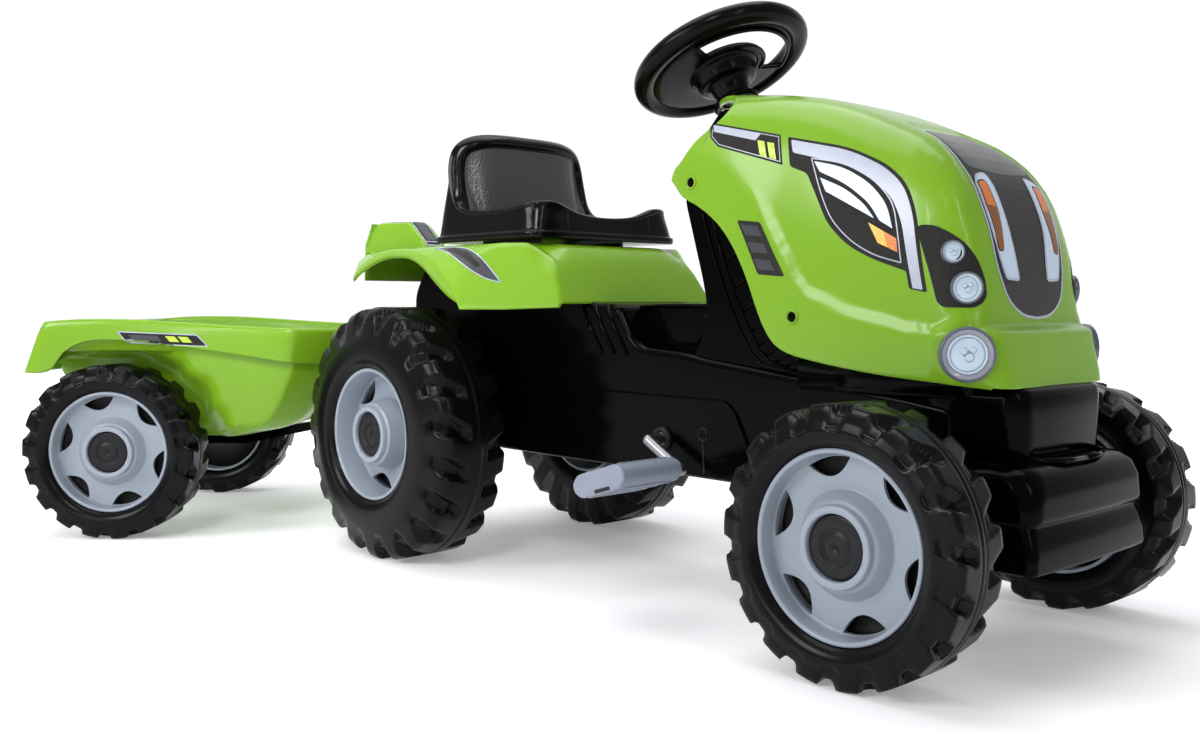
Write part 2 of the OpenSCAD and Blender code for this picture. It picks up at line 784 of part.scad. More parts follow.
chassis();
crank_cover_right();
crank_cover_left();
dash_column();
front_weight();
hood();
hood_screws();
lamp_bezels();
lamp_lenses();
saddle();
front_beam();
kingpins();
rear_bushes();
crank_bushes();
column_bushes();
drive_chain();
hitch_bracket();
hitch_bracket_screws();
seat();
steering_wheel();
steering_column();
horn_button();
tie_rod();
knuckle_right();
knuckle_left();
stub_axle_right();
stub_axle_left();
front_tyre_right();
front_tyre_left();
front_rim_right();
front_rim_left();
front_cap_right();
front_cap_left();
crank_rod();
crank_sprocket();
pedal_right();
pedal_left();
rear_axle();
rear_sprocket();
axle_clips();
rear_tyre_right();
rear_tyre_left();
rear_rim_right();
rear_rim_left();
rear_cap_right();
rear_cap_left();
hitch_pin();
trailer_tub();
trailer_frame();
trailer_axle();
trailer_clips();
trailer_tyre_right();
trailer_tyre_left();
trailer_rim_right();
trailer_rim_left();
trailer_cap_right();
trailer_cap_left();
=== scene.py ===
import json
import math
import bpy
import bmesh
from mathutils import Matrix, Vector
from mathutils.bvhtree import BVHTree

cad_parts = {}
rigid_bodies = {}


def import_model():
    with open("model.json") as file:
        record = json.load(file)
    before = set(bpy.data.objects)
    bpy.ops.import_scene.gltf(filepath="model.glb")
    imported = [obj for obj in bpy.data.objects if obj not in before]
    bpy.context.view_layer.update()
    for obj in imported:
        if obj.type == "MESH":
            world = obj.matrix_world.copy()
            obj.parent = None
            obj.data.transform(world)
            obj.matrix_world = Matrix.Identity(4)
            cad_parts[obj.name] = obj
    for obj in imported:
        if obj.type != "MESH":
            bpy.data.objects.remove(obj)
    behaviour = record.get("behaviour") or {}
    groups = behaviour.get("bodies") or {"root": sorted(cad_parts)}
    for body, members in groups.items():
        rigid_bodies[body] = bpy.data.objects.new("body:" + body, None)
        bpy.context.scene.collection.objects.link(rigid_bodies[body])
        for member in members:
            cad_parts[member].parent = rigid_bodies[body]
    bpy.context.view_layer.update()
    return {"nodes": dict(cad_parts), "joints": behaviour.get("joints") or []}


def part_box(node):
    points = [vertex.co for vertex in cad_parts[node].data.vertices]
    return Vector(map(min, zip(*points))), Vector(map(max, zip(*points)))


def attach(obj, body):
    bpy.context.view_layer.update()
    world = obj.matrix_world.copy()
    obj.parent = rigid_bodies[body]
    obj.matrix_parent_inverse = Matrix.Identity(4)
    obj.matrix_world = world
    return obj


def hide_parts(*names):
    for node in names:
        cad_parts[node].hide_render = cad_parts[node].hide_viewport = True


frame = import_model()
MM = 0.001   # shapes are drawn in millimetres, the frame is in metres


# ---- places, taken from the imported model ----

def mid(node):
    lo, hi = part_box(node)
    return (Vector(lo) + Vector(hi)) / 2


rear = mid("rear_axle")
TRACTOR = Matrix.Translation((rear.x, rear.y, 0))
pin = mid("hitch_pin")
across = mid("trailer_cap_left") - mid("trailer_cap_right")
yaw = math.atan2(across.y, across.x) - math.pi / 2
TRAILER = Matrix.Translation((pin.x, pin.y, 0)) @ Matrix.Rotation(yaw, 4, "Z")
SIDES = (("right", -1), ("left", 1))


def hand(side):
    return "right" if side < 0 else "left"


def extent(node, axis):
    lo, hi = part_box(node)
    return (hi[axis] - lo[axis]) / MM


def wheel_matrix(kind, side, width):
    """Frame of a wheel whose z runs outwards from the inner face."""
    base = (TRAILER if kind == "trailer" else TRACTOR).to_3x3().to_4x4()
    outwards = Matrix.Rotation(math.radians(-90 * side), 4, "X")
    return (Matrix.Translation(mid("%s_tyre_%s" % (kind, hand(side)))) @ base @ outwards
            @ Matrix.Translation((0, 0, -width / 2 * MM)))


# ---- materials ----

def material(name, color, rough, grain=(900, 0.05), coat=0.0, metal=0.0, vary=0.06,
             fine=0.0, spec=0.5, glow=0.0, stretch=(1, 1, 1)):
    """Plastic or metal with drifting tone and roughness; grain is (scale, strength) of a soft
    bump, fine the scale of small pits on top of it."""
    m = bpy.data.materials.new(name)
    m.use_nodes = True
    nt = m.node_tree
    b = nt.nodes["Principled BSDF"]
    b.inputs["Metallic"].default_value = metal
    b.inputs["Specular IOR Level"].default_value = spec
    b.inputs["Coat Weight"].default_value = coat
    b.inputs["Coat Roughness"].default_value = 0.08
    if glow:
        b.inputs["Emission Color"].default_value = (*color, 1)
        b.inputs["Emission Strength"].default_value = glow
    where = nt.nodes.new("ShaderNodeTexCoord")
    mp = nt.nodes.new("ShaderNodeMapping")
    mp.inputs["Scale"].default_value = stretch
    nt.links.new(where.outputs["Object"], mp.inputs["Vector"])

    def cloud(scale, detail, roughness=0.5):
        n = nt.nodes.new("ShaderNodeTexNoise")
        n.inputs["Scale"].default_value = scale
        n.inputs["Detail"].default_value = detail
        n.inputs["Roughness"].default_value = roughness
        nt.links.new(mp.outputs["Vector"], n.inputs["Vector"])
        return n.outputs["Fac"]

    tone = nt.nodes.new("ShaderNodeMix")
    tone.data_type = "RGBA"
    nt.links.new(cloud(9, 5, 0.6), tone.inputs["Factor"])
    tone.inputs["A"].default_value = (*[c * (1 - vary) for c in color], 1)
    tone.inputs["B"].default_value = (*[min(1, c * (1 + vary)) for c in color], 1)
    nt.links.new(tone.outputs["Result"], b.inputs["Base Color"])
    span = nt.nodes.new("ShaderNodeMapRange")
    span.inputs["To Min"].default_value = max(0.02, rough - 0.05)
    span.inputs["To Max"].default_value = rough + 0.06
    nt.links.new(cloud(55, 6, 0.65), span.inputs["Value"])
    nt.links.new(span.outputs["Result"], b.inputs["Roughness"])
    soft = nt.nodes.new("ShaderNodeBump")
    soft.inputs["Strength"].default_value = grain[1]
    soft.inputs["Distance"].default_value = 0.0006
    nt.links.new(cloud(grain[0], 3), soft.inputs["Height"])
    last = soft
    if fine:
        pits = nt.nodes.new("ShaderNodeTexVoronoi")
        pits.inputs["Scale"].default_value = fine
        nt.links.new(mp.outputs["Vector"], pits.inputs["Vector"])
        last = nt.nodes.new("ShaderNodeBump")
        last.inputs["Strength"].default_value = 0.55
        last.inputs["Distance"].default_value = 0.0008
        nt.links.new(pits.outputs["Distance"], last.inputs["Height"])
        nt.links.new(soft.outputs["Normal"], last.inputs["Normal"])
    nt.links.new(last.outputs["Normal"], b.inputs["Normal"])
    return m


GREEN = material("green plastic", (0.172, 0.352, 0.014), 0.25, (140, 0.03), 0.12, vary=0.03,
                 spec=0.28)
BLACK = material("moulded black plastic", (0.0010, 0.0009, 0.0010), 0.15, (150, 0.08), 0.0,
                 spec=0.045)
SEAT = material("seat plastic", (0.0024, 0.0023, 0.0026), 0.15, (120, 0.03), 0.0, spec=0.16)
GRAIN = material("grained seat panel", (0.026, 0.0255, 0.028), 0.40, (500, 0.2), fine=420,
                 spec=0.7)
WHEEL = material("steering wheel plastic", (0.0020, 0.0019, 0.0022), 0.20, (260, 0.08), 0.0,
                 spec=0.09)
SATIN = material("satin black plastic", (0.010, 0.010, 0.0115), 0.38, (800, 0.15), spec=0.2)
TYRE = material("tyre plastic", (0.0026, 0.0025, 0.0030), 0.24, (420, 0.09), vary=0.12,
                spec=0.13)
RIM = material("wheel grey plastic", (0.262, 0.298, 0.352), 0.33, (300, 0.06), 0.12, vary=0.04,
               spec=0.4)
PEDAL = material("pedal grey plastic", (0.235, 0.262, 0.335), 0.45, (700, 0.2), vary=0.06,
                 spec=0.4)
SILVER = material("silver bezel", (0.26, 0.27, 0.31), 0.24, (300, 0.04), 0.3, vary=0.12)
CHROME = material("dark bezel", (0.075, 0.085, 0.12), 0.22, (300, 0.04), 0.3, vary=0.2)
LENS = material("lamp lens", (0.50, 0.62, 0.72), 0.14, (90, 0.3), 0.5, vary=0.25)
STEEL = material("zinc steel", (0.30, 0.30, 0.32), 0.34, (600, 0.12), metal=1.0,
                 stretch=(1, 1, 6))
NYLON = material("natural nylon", (0.74, 0.72, 0.66), 0.42, (600, 0.12))
INK = material("sticker black", (0.012, 0.011, 0.010), 0.36, (500, 0.04), fine=900, spec=0.2)
CARBON = material("sticker dark grey", (0.045, 0.047, 0.055), 0.30, (500, 0.04), vary=0.25,
                  spec=0.3)
FROST = material("sticker silver", (0.40, 0.43, 0.52), 0.26, (400, 0.03), vary=0.10)
ICE = material("sticker pale blue", (0.50, 0.62, 0.74), 0.24, (400, 0.03), vary=0.08)
RUST = material("sticker brown", (0.20, 0.065, 0.008), 0.25, (400, 0.03), vary=0.3)
YOLK = material("sticker yellow", (0.78, 0.42, 0.03), 0.25, (400, 0.03), vary=0.2)
AMBER = material("sticker amber", (0.66, 0.17, 0.010), 0.25, (400, 0.03), vary=0.30)
LIME = material("sticker lime", (0.42, 0.58, 0.03), 0.25, (400, 0.03), vary=0.05)


# ---- mesh helpers, all working in millimetres in a local frame ----

def modify(o, name, kind, **values):
    m = o.modifiers.new(name, kind)
    for key, value in values.items():
        setattr(m, key, value)


def piece(name, verts, faces, matrix=TRACTOR, mat=None, body="tractor", nodes=(), slot=None,
          bevel=0, segments=3, thick=0, angle=35, mats=None, face_mats=None):
    me = bpy.data.meshes.new(name)
    me.from_pydata([matrix @ (Vector(v) * MM) for v in verts], [], faces)
    bm = bmesh.new()
    bm.from_mesh(me)
    if matrix.determinant() < 0:
        bmesh.ops.reverse_faces(bm, faces=bm.faces)
    bm.to_mesh(me)
    bm.free()
    o = bpy.data.objects.new(name, me)
    bpy.context.scene.collection.objects.link(o)
    for mt in (mats or [mat]):
        me.materials.append(mt)
    if face_mats:
        for p, k in zip(me.polygons, face_mats):
            p.material_index = k
    me.shade_smooth()
    if thick:
        modify(o, "wall", "SOLIDIFY", thickness=thick * MM, offset=-1, use_rim=True)
    if bevel:
        modify(o, "edge", "BEVEL", width=bevel * MM, segments=segments, limit_method="ANGLE",
               angle_limit=math.radians(angle), harden_normals=False)
        modify(o, "shade", "WEIGHTED_NORMAL", keep_sharp=True)
    if nodes:
        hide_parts(*nodes)
    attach(o, body)
    return o


def fix_normals(o):
    bm = bmesh.new()
    bm.from_mesh(o.data)
    bmesh.ops.recalc_face_normals(bm, faces=bm.faces)
    bm.to_mesh(o.data)
    bm.free()


def prism(outline, low, high, plane="xz"):
    """Closed prism of a flat outline, from low to high along the third axis."""
    n = len(outline)
    put = {"xz": lambda p, h: (p[0], h, p[1]), "xy": lambda p, h: (p[0], p[1], h)}[plane]
    verts = [put(p, low) for p in outline] + [put(p, high) for p in outline]
    faces = [tuple(range(n)), tuple(range(2 * n - 1, n - 1, -1))]
    faces += [(i, i + n, (i + 1) % n + n, (i + 1) % n) for i in range(n)]
    return verts, faces


def block(name, outline, low, high, matrix=TRACTOR, mat=BLACK, body="tractor",
          slot="chassis_black", **extra):
    """Prism piece of an xz outline, from low to high in y."""
    fix_normals(piece(name, *prism(outline, low, high), matrix, mat, body, slot=slot, **extra))


def round_corners(points, radius, steps=5):
    """Outline with its corners turned into arcs."""
    out = []
    n = len(points)
    for i, p in enumerate(points):
        p = Vector(p)
        a, b = Vector(points[i - 1]), Vector(points[(i + 1) % n])
        r = radius[i] if isinstance(radius, (list, tuple)) else radius
        reach = min(r, (a - p).length * 0.45, (b - p).length * 0.45)
        s, e = p + (a - p).normalized() * reach, p + (b - p).normalized() * reach
        for k in range(steps + 1):
            t = k / steps
            q = (1 - t) ** 2 * s + 2 * t * (1 - t) * p + t * t * e
            out.append(tuple(q))
    return out


def grid_faces(rows, cols, wrap_rows=False, wrap_cols=False):
    faces = []
    for i in range(rows if wrap_rows else rows - 1):
        for j in range(cols if wrap_cols else cols - 1):
            a, b = i, (i + 1) % rows
            c, d = j, (j + 1) % cols
            faces.append((a * cols + c, b * cols + c, b * cols + d, a * cols + d))
    return faces


def turn(name, profile, matrix, mat, body, count, **extra):
    """Solid of revolution about z of a list of (r, z)."""
    verts = []
    for i in range(count):
        a = 2 * math.pi * i / count
        verts += [(r * math.cos(a), r * math.sin(a), z) for r, z in profile]
    o = piece(name, verts, grid_faces(count, len(profile), True, True), matrix, mat, body,
              **extra)
    fix_normals(o)
    return o


def tube_pieces(name, paths, radius, mat=BLACK, body="tractor", slot="chassis_black",
                matrix=TRACTOR, steps=8):
    """Several raised cords joined into one piece."""
    verts, faces = [], []
    for path in paths:
        v, f = sweep(path, radius, steps)
        faces += [tuple(k + len(verts) for k in q) for q in f]
        verts += v
    piece(name, verts, faces, matrix, mat, body, slot=slot)


def loft(name, rings, matrix=TRACTOR, mat=BLACK, body="tractor", slot="chassis_black", **extra):
    """Closed skin through rings that have the same number of points."""
    n = len(rings[0])
    verts = [p for r in rings for p in r]
    faces = grid_faces(len(rings), n, False, True)
    faces += [tuple(range(n)), tuple(range(len(verts) - 1, len(verts) - n - 1, -1))]
    fix_normals(piece(name, verts, faces, matrix, mat, body, slot=slot, **extra))


def sheet(name, rows, **extra):
    """Open green skin of the tractor through rows of points."""
    return piece(name, [p for r in rows for p in r], grid_faces(len(rows), len(rows[0])),
                 TRACTOR, GREEN, "tractor", slot="body_green", **extra)


def face_up(o):
    """Consistent normals on a skin that is open below, its upper side outwards."""
    bm = bmesh.new()
    bm.from_mesh(o.data)
    bmesh.ops.recalc_face_normals(bm, faces=bm.faces)
    top = max(bm.faces, key=lambda f: f.calc_center_median().z)
    if top.normal.z < 0:
        bmesh.ops.reverse_faces(bm, faces=bm.faces)
    bmesh.ops.delete(bm, geom=[v for v in bm.verts if not v.link_faces], context="VERTS")
    bm.to_mesh(o.data)
    bm.free()


def sweep(points, radius, steps=12, closed=False):
    """Round tube along a path."""
    pts = [Vector(p) for p in points]
    n = len(pts)
    verts = []
    side = None
    for i, p in enumerate(pts):
        if closed:
            d = pts[(i + 1) % n] - pts[i - 1]
        else:
            d = pts[min(i + 1, n - 1)] - pts[max(i - 1, 0)]
        d.normalize()
        if side is None:
            side = d.orthogonal().normalized()
        side = (side - d * side.dot(d)).normalized()
        up = d.cross(side)
        r = radius[i] if isinstance(radius, (list, tuple)) else radius
        verts += [tuple(p + (side * math.cos(a) + up * math.sin(a)) * r)
                  for a in [2 * math.pi * k / steps for k in range(steps)]]
    faces = grid_faces(n, steps, closed, True)
    if not closed:
        faces += [tuple(range(steps)), tuple(range(len(verts) - 1, len(verts) - steps - 1, -1))]
    return verts, faces


def smooth(t, low=0.0, high=1.0):
    t = max(0.0, min(1.0, (t - low) / (high - low)))
    return t * t * (3 - 2 * t)


def follow(table, x):
    """Smooth value at x from a short list of (x, value)."""
    if x <= table[0][0]:
        return table[0][1]
    for k in range(len(table) - 1):
        (x0, y0), (x1, y1) = table[k], table[k + 1]
        if x <= x1:
            p = table[max(k - 1, 0)]
            q = table[min(k + 2, len(table) - 1)]
            m0 = (y1 - p[1]) / (x1 - p[0]) * (x1 - x0)
            m1 = (q[1] - y0) / (q[0] - x0) * (x1 - x0)
            t = (x - x0) / (x1 - x0)
            return ((2 * t ** 3 - 3 * t * t + 1) * y0 + (t ** 3 - 2 * t * t + t) * m0
                    + (3 * t * t - 2 * t ** 3) * y1 + (t ** 3 - t * t) * m1)
    return table[-1][1]


# ---- wheels ----

VALLEY_DEPTH = 0.068   # of the tread, as a share of the tyre's radius
STEPS = 16             # columns of a tyre's skin for each lug


def valley(turn_at, s, mouth):
    """How deep the tread is pressed, s from 0 at the shoulder to 1 at the rib."""
    phase = (turn_at + 0.34 * s ** 1.4) % 1 - 0.5
    wide = (0.33 - 0.16 * s) * math.sqrt(max(0, 1 - max(0, mouth - s) ** 2 / mouth ** 2))
    return smooth(wide - abs(phase), 0, 0.085) * (1 - smooth(s, 0.93, 1.0))


def tyre(kind, side, radius, width, shoulder, lugs, body):
    """Tyre whose tread valleys are pressed into one continuous skin."""
    depth = radius * VALLEY_DEPTH
    rib = 6 if kind != "rear" else 9
    centre = (width - shoulder + 6) / 2
    side_r = radius - depth - 5 - shoulder * 0.25
    skin = [(72.6, width - 10), (73.6, width - 9), (76, width - 5), (80, width - 1.5),
            (84.5, width - 0.2), (89, width - 0.1)]
    if kind == "rear":
        skin += [(100, width - 0.6), (108, width - 2)]
    skin += [(side_r, width - 2.5 - (4 if kind == "rear" else 0))]
    outer_z = width - shoulder
    start = len(skin)
    for k in range(1, 6):
        a = k / 6 * math.pi / 2
        skin.append((side_r + (radius - side_r) * math.sin(a),
                     outer_z + (skin[start - 1][1] - outer_z) * math.cos(a)))
    skin += [(radius, outer_z + (centre + rib - outer_z) * k / 6) for k in range(0, 6)]
    rib_start = len(skin)
    skin += [(radius, centre + rib), (radius, centre + rib - 1.2), (radius - 1.0, centre + 2.4),
             (radius, centre + 1.2), (radius, centre), (radius, centre - 1.2),
             (radius - 1.0, centre - 2.4), (radius, centre - rib + 1.2), (radius, centre - rib)]
    rib_end = len(skin)
    skin += [(radius, centre - rib - (centre - rib - 6) * k / 6) for k in range(1, 7)]
    inner = len(skin)
    skin += [(radius - depth * 0.3, 3.6), (radius - depth * 0.8, 1.8), (radius - depth - 6, 0.3),
             (92, 0.1), (82, 0.3), (76, 4), (73.2, 8), (72.6, 10)]
    first = start if kind == "rear" else start - 1
    count = lugs * STEPS
    verts = []
    for i in range(count):
        a = 2 * math.pi * i / count
        for j, (r, z) in enumerate(skin):
            press = 0.0
            if first <= j < rib_start:
                press = valley(i / STEPS, (j - first + 1) / (rib_start - first), 0.26)
            elif rib_end <= j < inner + 3:
                press = valley(i / STEPS + 0.5, 1 - (j - rib_end + 1) / (inner + 3 - rib_end),
                               0.2)
            q = r - depth * press * (1 if r > radius - depth else 0.75)
            verts.append((q * math.cos(a), q * math.sin(a), z))
    node = "%s_tyre_%s" % (kind, hand(side))
    o = piece(node + "_skin", verts, grid_faces(count, len(skin), True, False),
              wheel_matrix(kind, side, width), TYRE, body, [node], "tyre_black")
    fix_normals(o)
    modify(o, "wall", "SOLIDIFY", thickness=3 * MM, offset=-1)


def lens_shape(length, outer, inner, at):
    """Slot bounded by two arcs, drawn about the wheel's centre at radius at."""
    out = []
    for k in range(13):
        t = -1 + k / 6
        out.append((at + outer * (1 - t * t), t * length))
    for k in range(1, 12):
        t = 1 - k / 6
        out.append((at - inner * (1 - t * t), t * length))
    return out


def carve(o, cutters):
    """Cuts prisms out of a mesh and keeps the result as plain mesh."""
    for v, f in cutters:
        me = bpy.data.meshes.new("cutter")
        me.from_pydata([Vector(p) * MM for p in v], [], f)
        c = bpy.data.objects.new("cutter", me)
        bpy.context.scene.collection.objects.link(c)
        fix_normals(c)
        modify(o, "cut", "BOOLEAN", object=c, operation="DIFFERENCE", solver="EXACT")
        dg = bpy.context.evaluated_depsgraph_get()
        new = bpy.data.meshes.new_from_object(o.evaluated_get(dg))
        o.modifiers.remove(o.modifiers["cut"])
        old = o.data
        o.data = new
        bpy.data.meshes.remove(old)
        bpy.data.objects.remove(c)
        bpy.data.meshes.remove(me)


SLOTS = 6


def rim(kind, side, w, body):
    """Dished rim of width w with slots cut through its disc."""
    if kind == "rear":
        disc, foot, wall_r, slot_r = w - 34, 40, 66, 61.5
    else:
        disc, foot, wall_r, slot_r = w - 21.5, 41.5, 68.2, 63.8
    profile = [(72.4, 3), (72.4, w - 10), (73.4, w - 9), (73.9, w - 7.6), (73.2, w - 6.4),
               (71.6, w - 6.0), (70.2, w - 6.8), (69.6, w - 8.4), (wall_r + 0.4, disc + 4),
               (wall_r - 0.6, disc + 1.4), (wall_r - 3, disc + 0.3), (50, disc),
               (foot + 1.2, disc + 0.4), (foot - 0.2, disc + 1.8), (35.4, w - 11.4),
               (34.2, w - 10.2), (32.6, w - 9.8), (32.0, w - 9.0), (31.6, w - 5.2),
               (30.8, w - 4.2), (29.6, w - 4.0), (27.0, w - 4.0), (25.9, w - 4.4),
               (25.4, w - 5.4), (25.3, w - 16.5), (13.2, w - 16.5), (13.2, disc - 8),
               (33, disc - 6), (50, disc - 3.2), (wall_r + 1, disc - 3.2), (69.4, disc - 3),
               (69.4, 3)]
    node = "%s_rim_%s" % (kind, hand(side))
    o = turn(node + "_shell", profile, Matrix.Diagonal((1, 1, 1, 1)), RIM, body, 120,
             nodes=[node], slot="rim_grey")
    cutters = []
    for i in range(SLOTS):
        a = 2 * math.pi * (i + (0.25 if kind == "rear" else 0.75)) / SLOTS
        shape = [(x * math.cos(a) - y * math.sin(a), x * math.sin(a) + y * math.cos(a))
                 for x, y in lens_shape(19.5, 3.4, 11.5, slot_r)]
        cutters.append(prism(shape, disc - 9, disc + 9, "xy"))
    carve(o, cutters)
    o.data.transform(wheel_matrix(kind, side, w))
    o.data.update()
    modify(o, "edge", "BEVEL", width=0.7 * MM, segments=2, limit_method="ANGLE",
           angle_limit=math.radians(50))
    modify(o, "shade", "WEIGHTED_NORMAL", keep_sharp=True)


def cap(kind, side, width, body):
    top = width - 7
    profile = [(0.01, top - 0.6), (10.6, top - 0.6), (11.4, top - 1.5), (13.0, top - 1.7),
               (14.0, top - 1.5), (14.6, top - 0.2), (15.4, top), (22.5, top),
               (24.2, top - 0.6), (24.9, top - 2), (25, top - 8), (0.01, top - 8)]
    node = "%s_cap_%s" % (kind, hand(side))
    turn(node + "_disc", profile, wheel_matrix(kind, side, width), SATIN, body, 72,
         nodes=[node], slot="cap_black")


fw = extent("front_tyre_left", 1)
rw = extent("rear_tyre_left", 1)
fr = extent("front_tyre_left", 2) / 2
rr = extent("rear_tyre_left", 2) / 2


def wheels_of(name, side):
    """Kind, width, (radius, shoulder, lugs) and body of one side's wheels."""
    return (("front", fw, (fr, 6, 18), "front_wheel_" + name),
            ("trailer", fw, (fr - 0.5, 6, 18), "trailer_wheel_" + name),
            ("rear", rw, (rr, 22, 20), "drive_axle" if side > 0 else "rear_wheel_right"))


for name, side in SIDES:
    for kind, w, (r, shoulder, lugs), body in wheels_of(name, side):
        tyre(kind, side, r, w, shoulder, lugs, body)
        rim(kind, side, w, body)
        cap(kind, side, w, body)

# ---- hood ----

# curves in the tractor's frame: (x, z), or (x, half-width) for SIDE and (z, ...) for the panel
NOSE_X, NOSE_U = 600, 0.5   # where the flanks pass into the nose
BOTTOM = [(350, 409), (364, 403), (378, 389), (400, 378), (424, 361), (442, 340), (458, 312),
          (471, 283), (482, 264), (494, 252), (515, 244), (586, 233), (667, 225), (700, 220)]
CROWN = [(350, 487), (400, 484), (436, 480), (480, 474), (520, 464), (560, 449), (600, 431)]
NOSE = [(600, 431), (612, 425), (624, 417), (634, 409), (642, 400.5), (649, 391.5), (654.5, 382),
        (659, 371), (663, 360), (666.5, 348), (669, 336), (671, 324), (673, 312), (674.8, 300),
        (676.2, 290), (677.4, 281), (678.6, 272), (680.2, 262), (682.4, 252), (684.6, 243),
        (686.6, 233), (688.6, 222)]
SIDE = [(350, 97), (364, 100), (392, 104), (560, 104), (612, 101.5), (640, 97.5), (664, 91),
        (680, 83)]
LAMP_AT = (669, 249)
PANEL_SINK = 2.6     # depth of the centre panel's recess
CREASE = 3.5         # half of the height over which the lower flank steps out
FLANK_STEP, BUMPER_STEP = 3.2, 10.0
PANEL_HALF = [(280, 42), (290, 47), (310, 57), (327, 62), (353, 66), (384, 65), (410, 57),
              (426, 45), (440, 39)]
FEATURE = [(440, 420), (470, 384), (482, 364), (504, 331), (523, 302), (559, 286), (597, 275),
           (636, 268), (700, 268)]


def hood_edge_x(t):
    """Where the hood's rear edge lies, t = 0 at the side's foot and 1 at the centre."""
    return follow([(0, 363), (0.12, 371), (0.3, 395), (0.47, 424), (0.56, 422), (0.7, 389),
                   (0.85, 359), (1.0, 350)], t)


def hood_section(n, t):
    """Point of a superellipse's quarter: share of the half-width and of the height."""
    corner = 0.5 ** (1 / n)
    if t < 0.5:
        b = corner * t / 0.5
        a = max(0, 1 - b ** n) ** (1 / n)
    else:
        a = corner * (1 - t) / 0.5
        b = max(0, 1 - a ** n) ** (1 / n)
    return a, b


def hood_point(u, t):
    """u runs from the rear edge (0) to the nose's foot (1), t from side foot to centre."""
    if u < NOSE_U:
        x = hood_edge_x(t)
        x += (NOSE_X - x) * u / NOSE_U
        low, top = follow(BOTTOM, x), follow(CROWN, x)
        a, b = hood_section(5.2, t)
        z = low + (top - low) * b
        y = follow(SIDE, x) * a * (1 - 0.05 * smooth(b, 0.4, 0.9))
    else:
        v = (u - NOSE_U) / (1 - NOSE_U)
        k = v * (len(NOSE) - 1)
        i = min(int(k), len(NOSE) - 2)
        cx = NOSE[i][0] + (NOSE[i + 1][0] - NOSE[i][0]) * (k - i)
        cz = NOSE[i][1] + (NOSE[i + 1][1] - NOSE[i][1]) * (k - i)
        dx = NOSE_X + 80 * v ** 0.85
        low = follow(BOTTOM, dx)
        n = 5.2 - 1.4 * smooth(v, 0, 0.6)
        a, b = hood_section(n, t)
        # the nose is a flat face with short rounded corners
        face = smooth(t, 0.40, 0.52)
        x, z = dx + (cx - dx) * (b * (1 - face) + face * (0.9 + 0.1 * b)), low + (cz - low) * b
        y = follow(SIDE, dx) * a * (1 - 0.05 * smooth(b, 0.4, 0.9) * (1 - v))
    # the centre panel lies in a shallow recess that ends on the nose
    wide = follow(PANEL_HALF, z)
    recess = (smooth(-abs(y), -wide - 2.6, -wide + 0.4) * smooth(x, 577, 583)
              * smooth(z, 335, 425) * PANEL_SINK)
    x -= recess * smooth(x, 610, 660) * 0.7
    z -= recess * (1 - smooth(x, 630, 680) * 0.8)
    # bumper and lower flank stand out below one continuous crease
    line = follow(FEATURE, x)
    below = 1 - smooth(z, line - CREASE, line + CREASE)
    if x > 440:
        side_part = smooth(y, 60, 80)
        near = math.hypot(x - LAMP_AT[0], z - LAMP_AT[1])
        swell = 1 - smooth(near, 25, 33)
        y += side_part * (FLANK_STEP * below * smooth(x, 455, 500) + FLANK_STEP * swell)
        x += BUMPER_STEP * below * (1 - smooth(y, 76, 94) * 0.6) * smooth(x, 640, 668)
    return (x, y, z)


def hood_grid():
    us = ([k / 48 * NOSE_U for k in range(48)]
          + [NOSE_U + k / 90 * (1 - NOSE_U) for k in range(91)])
    half = 52
    ts = [k / half for k in range(half + 1)]
    rows = []
    for u in us:
        right = [hood_point(u, t) for t in ts]
        row = [(x, -y, z) for x, y, z in right] + [(x, y, z) for x, y, z in right[-2::-1]]
        # rolled lower edge
        x0, y0, z0 = right[0]
        for side in (-1, 1):
            roll = [(x0, side * (y0 - 0.9), z0 - 1.6), (x0, side * (y0 - 3.2), z0 - 2.2),
                    (x0, side * (y0 - 6.5), z0 - 0.6)]
            row = roll[::-1] + row if side < 0 else row + roll
        rows.append(row)
    # rolled rear edge
    first, second = rows[0], rows[1]
    lead = []
    for d, sink in ((1.5, 0.9), (2.2, 3.2), (0.8, 6.5)):
        new = []
        for j, (p, q) in enumerate(zip(first, second)):
            p, q = Vector(p), Vector(q)
            along = (p - q).normalized()
            n1 = Vector(first[min(j + 1, len(first) - 1)]) - Vector(first[max(j - 1, 0)])
            inward = along.cross(n1).normalized()
            if inward.dot(Vector((430, 0, 400)) - p) < 0:
                inward = -inward
            new.append(tuple(p + along * d + inward * sink))
        lead.append(new)
    return [lead[2], lead[1], lead[0]] + rows


def column_line():
    """Point and direction of the steering column in the tractor's frame, millimetres."""
    j = [q for q in frame["joints"] if q["name"] == "steering_turn"][0]
    at = TRACTOR.inverted() @ Vector(j["pos_m"])
    return at / MM, Vector(j["axis"]).normalized() * (1 if j["axis"][2] > 0 else -1)


WHEEL_AT, COLUMN = column_line()

grid = hood_grid()
cols = len(grid[0])
hv = [p for row in grid for p in row]
hf = grid_faces(len(grid), cols)
hood_tree = BVHTree.FromPolygons([Vector(p) for p in hv], hf)


def off_column(p):
    d = Vector(p) - WHEEL_AT
    return (d - COLUMN * d.dot(COLUMN)).length


# the column passes the hood through a hole of its own
keep = [f for f in hf if min(off_column(hv[k]) for k in f) > 19 or hv[f[0]][2] < 440]
hood = piece("hood_shell", hv, keep, TRACTOR, GREEN, "tractor", ["hood"], "body_green")
face_up(hood)
modify(hood, "smooth", "SUBSURF", levels=1, render_levels=1)
modify(hood, "wall", "SOLIDIFY", thickness=2.4 * MM, offset=-1)

collar = sweep([WHEEL_AT - COLUMN * 47 + (Matrix.Rotation(2 * math.pi * k / 40, 3, COLUMN)
                @ (COLUMN.orthogonal().normalized() * 20.5)) for k in range(40)], 3.0, 10, True)


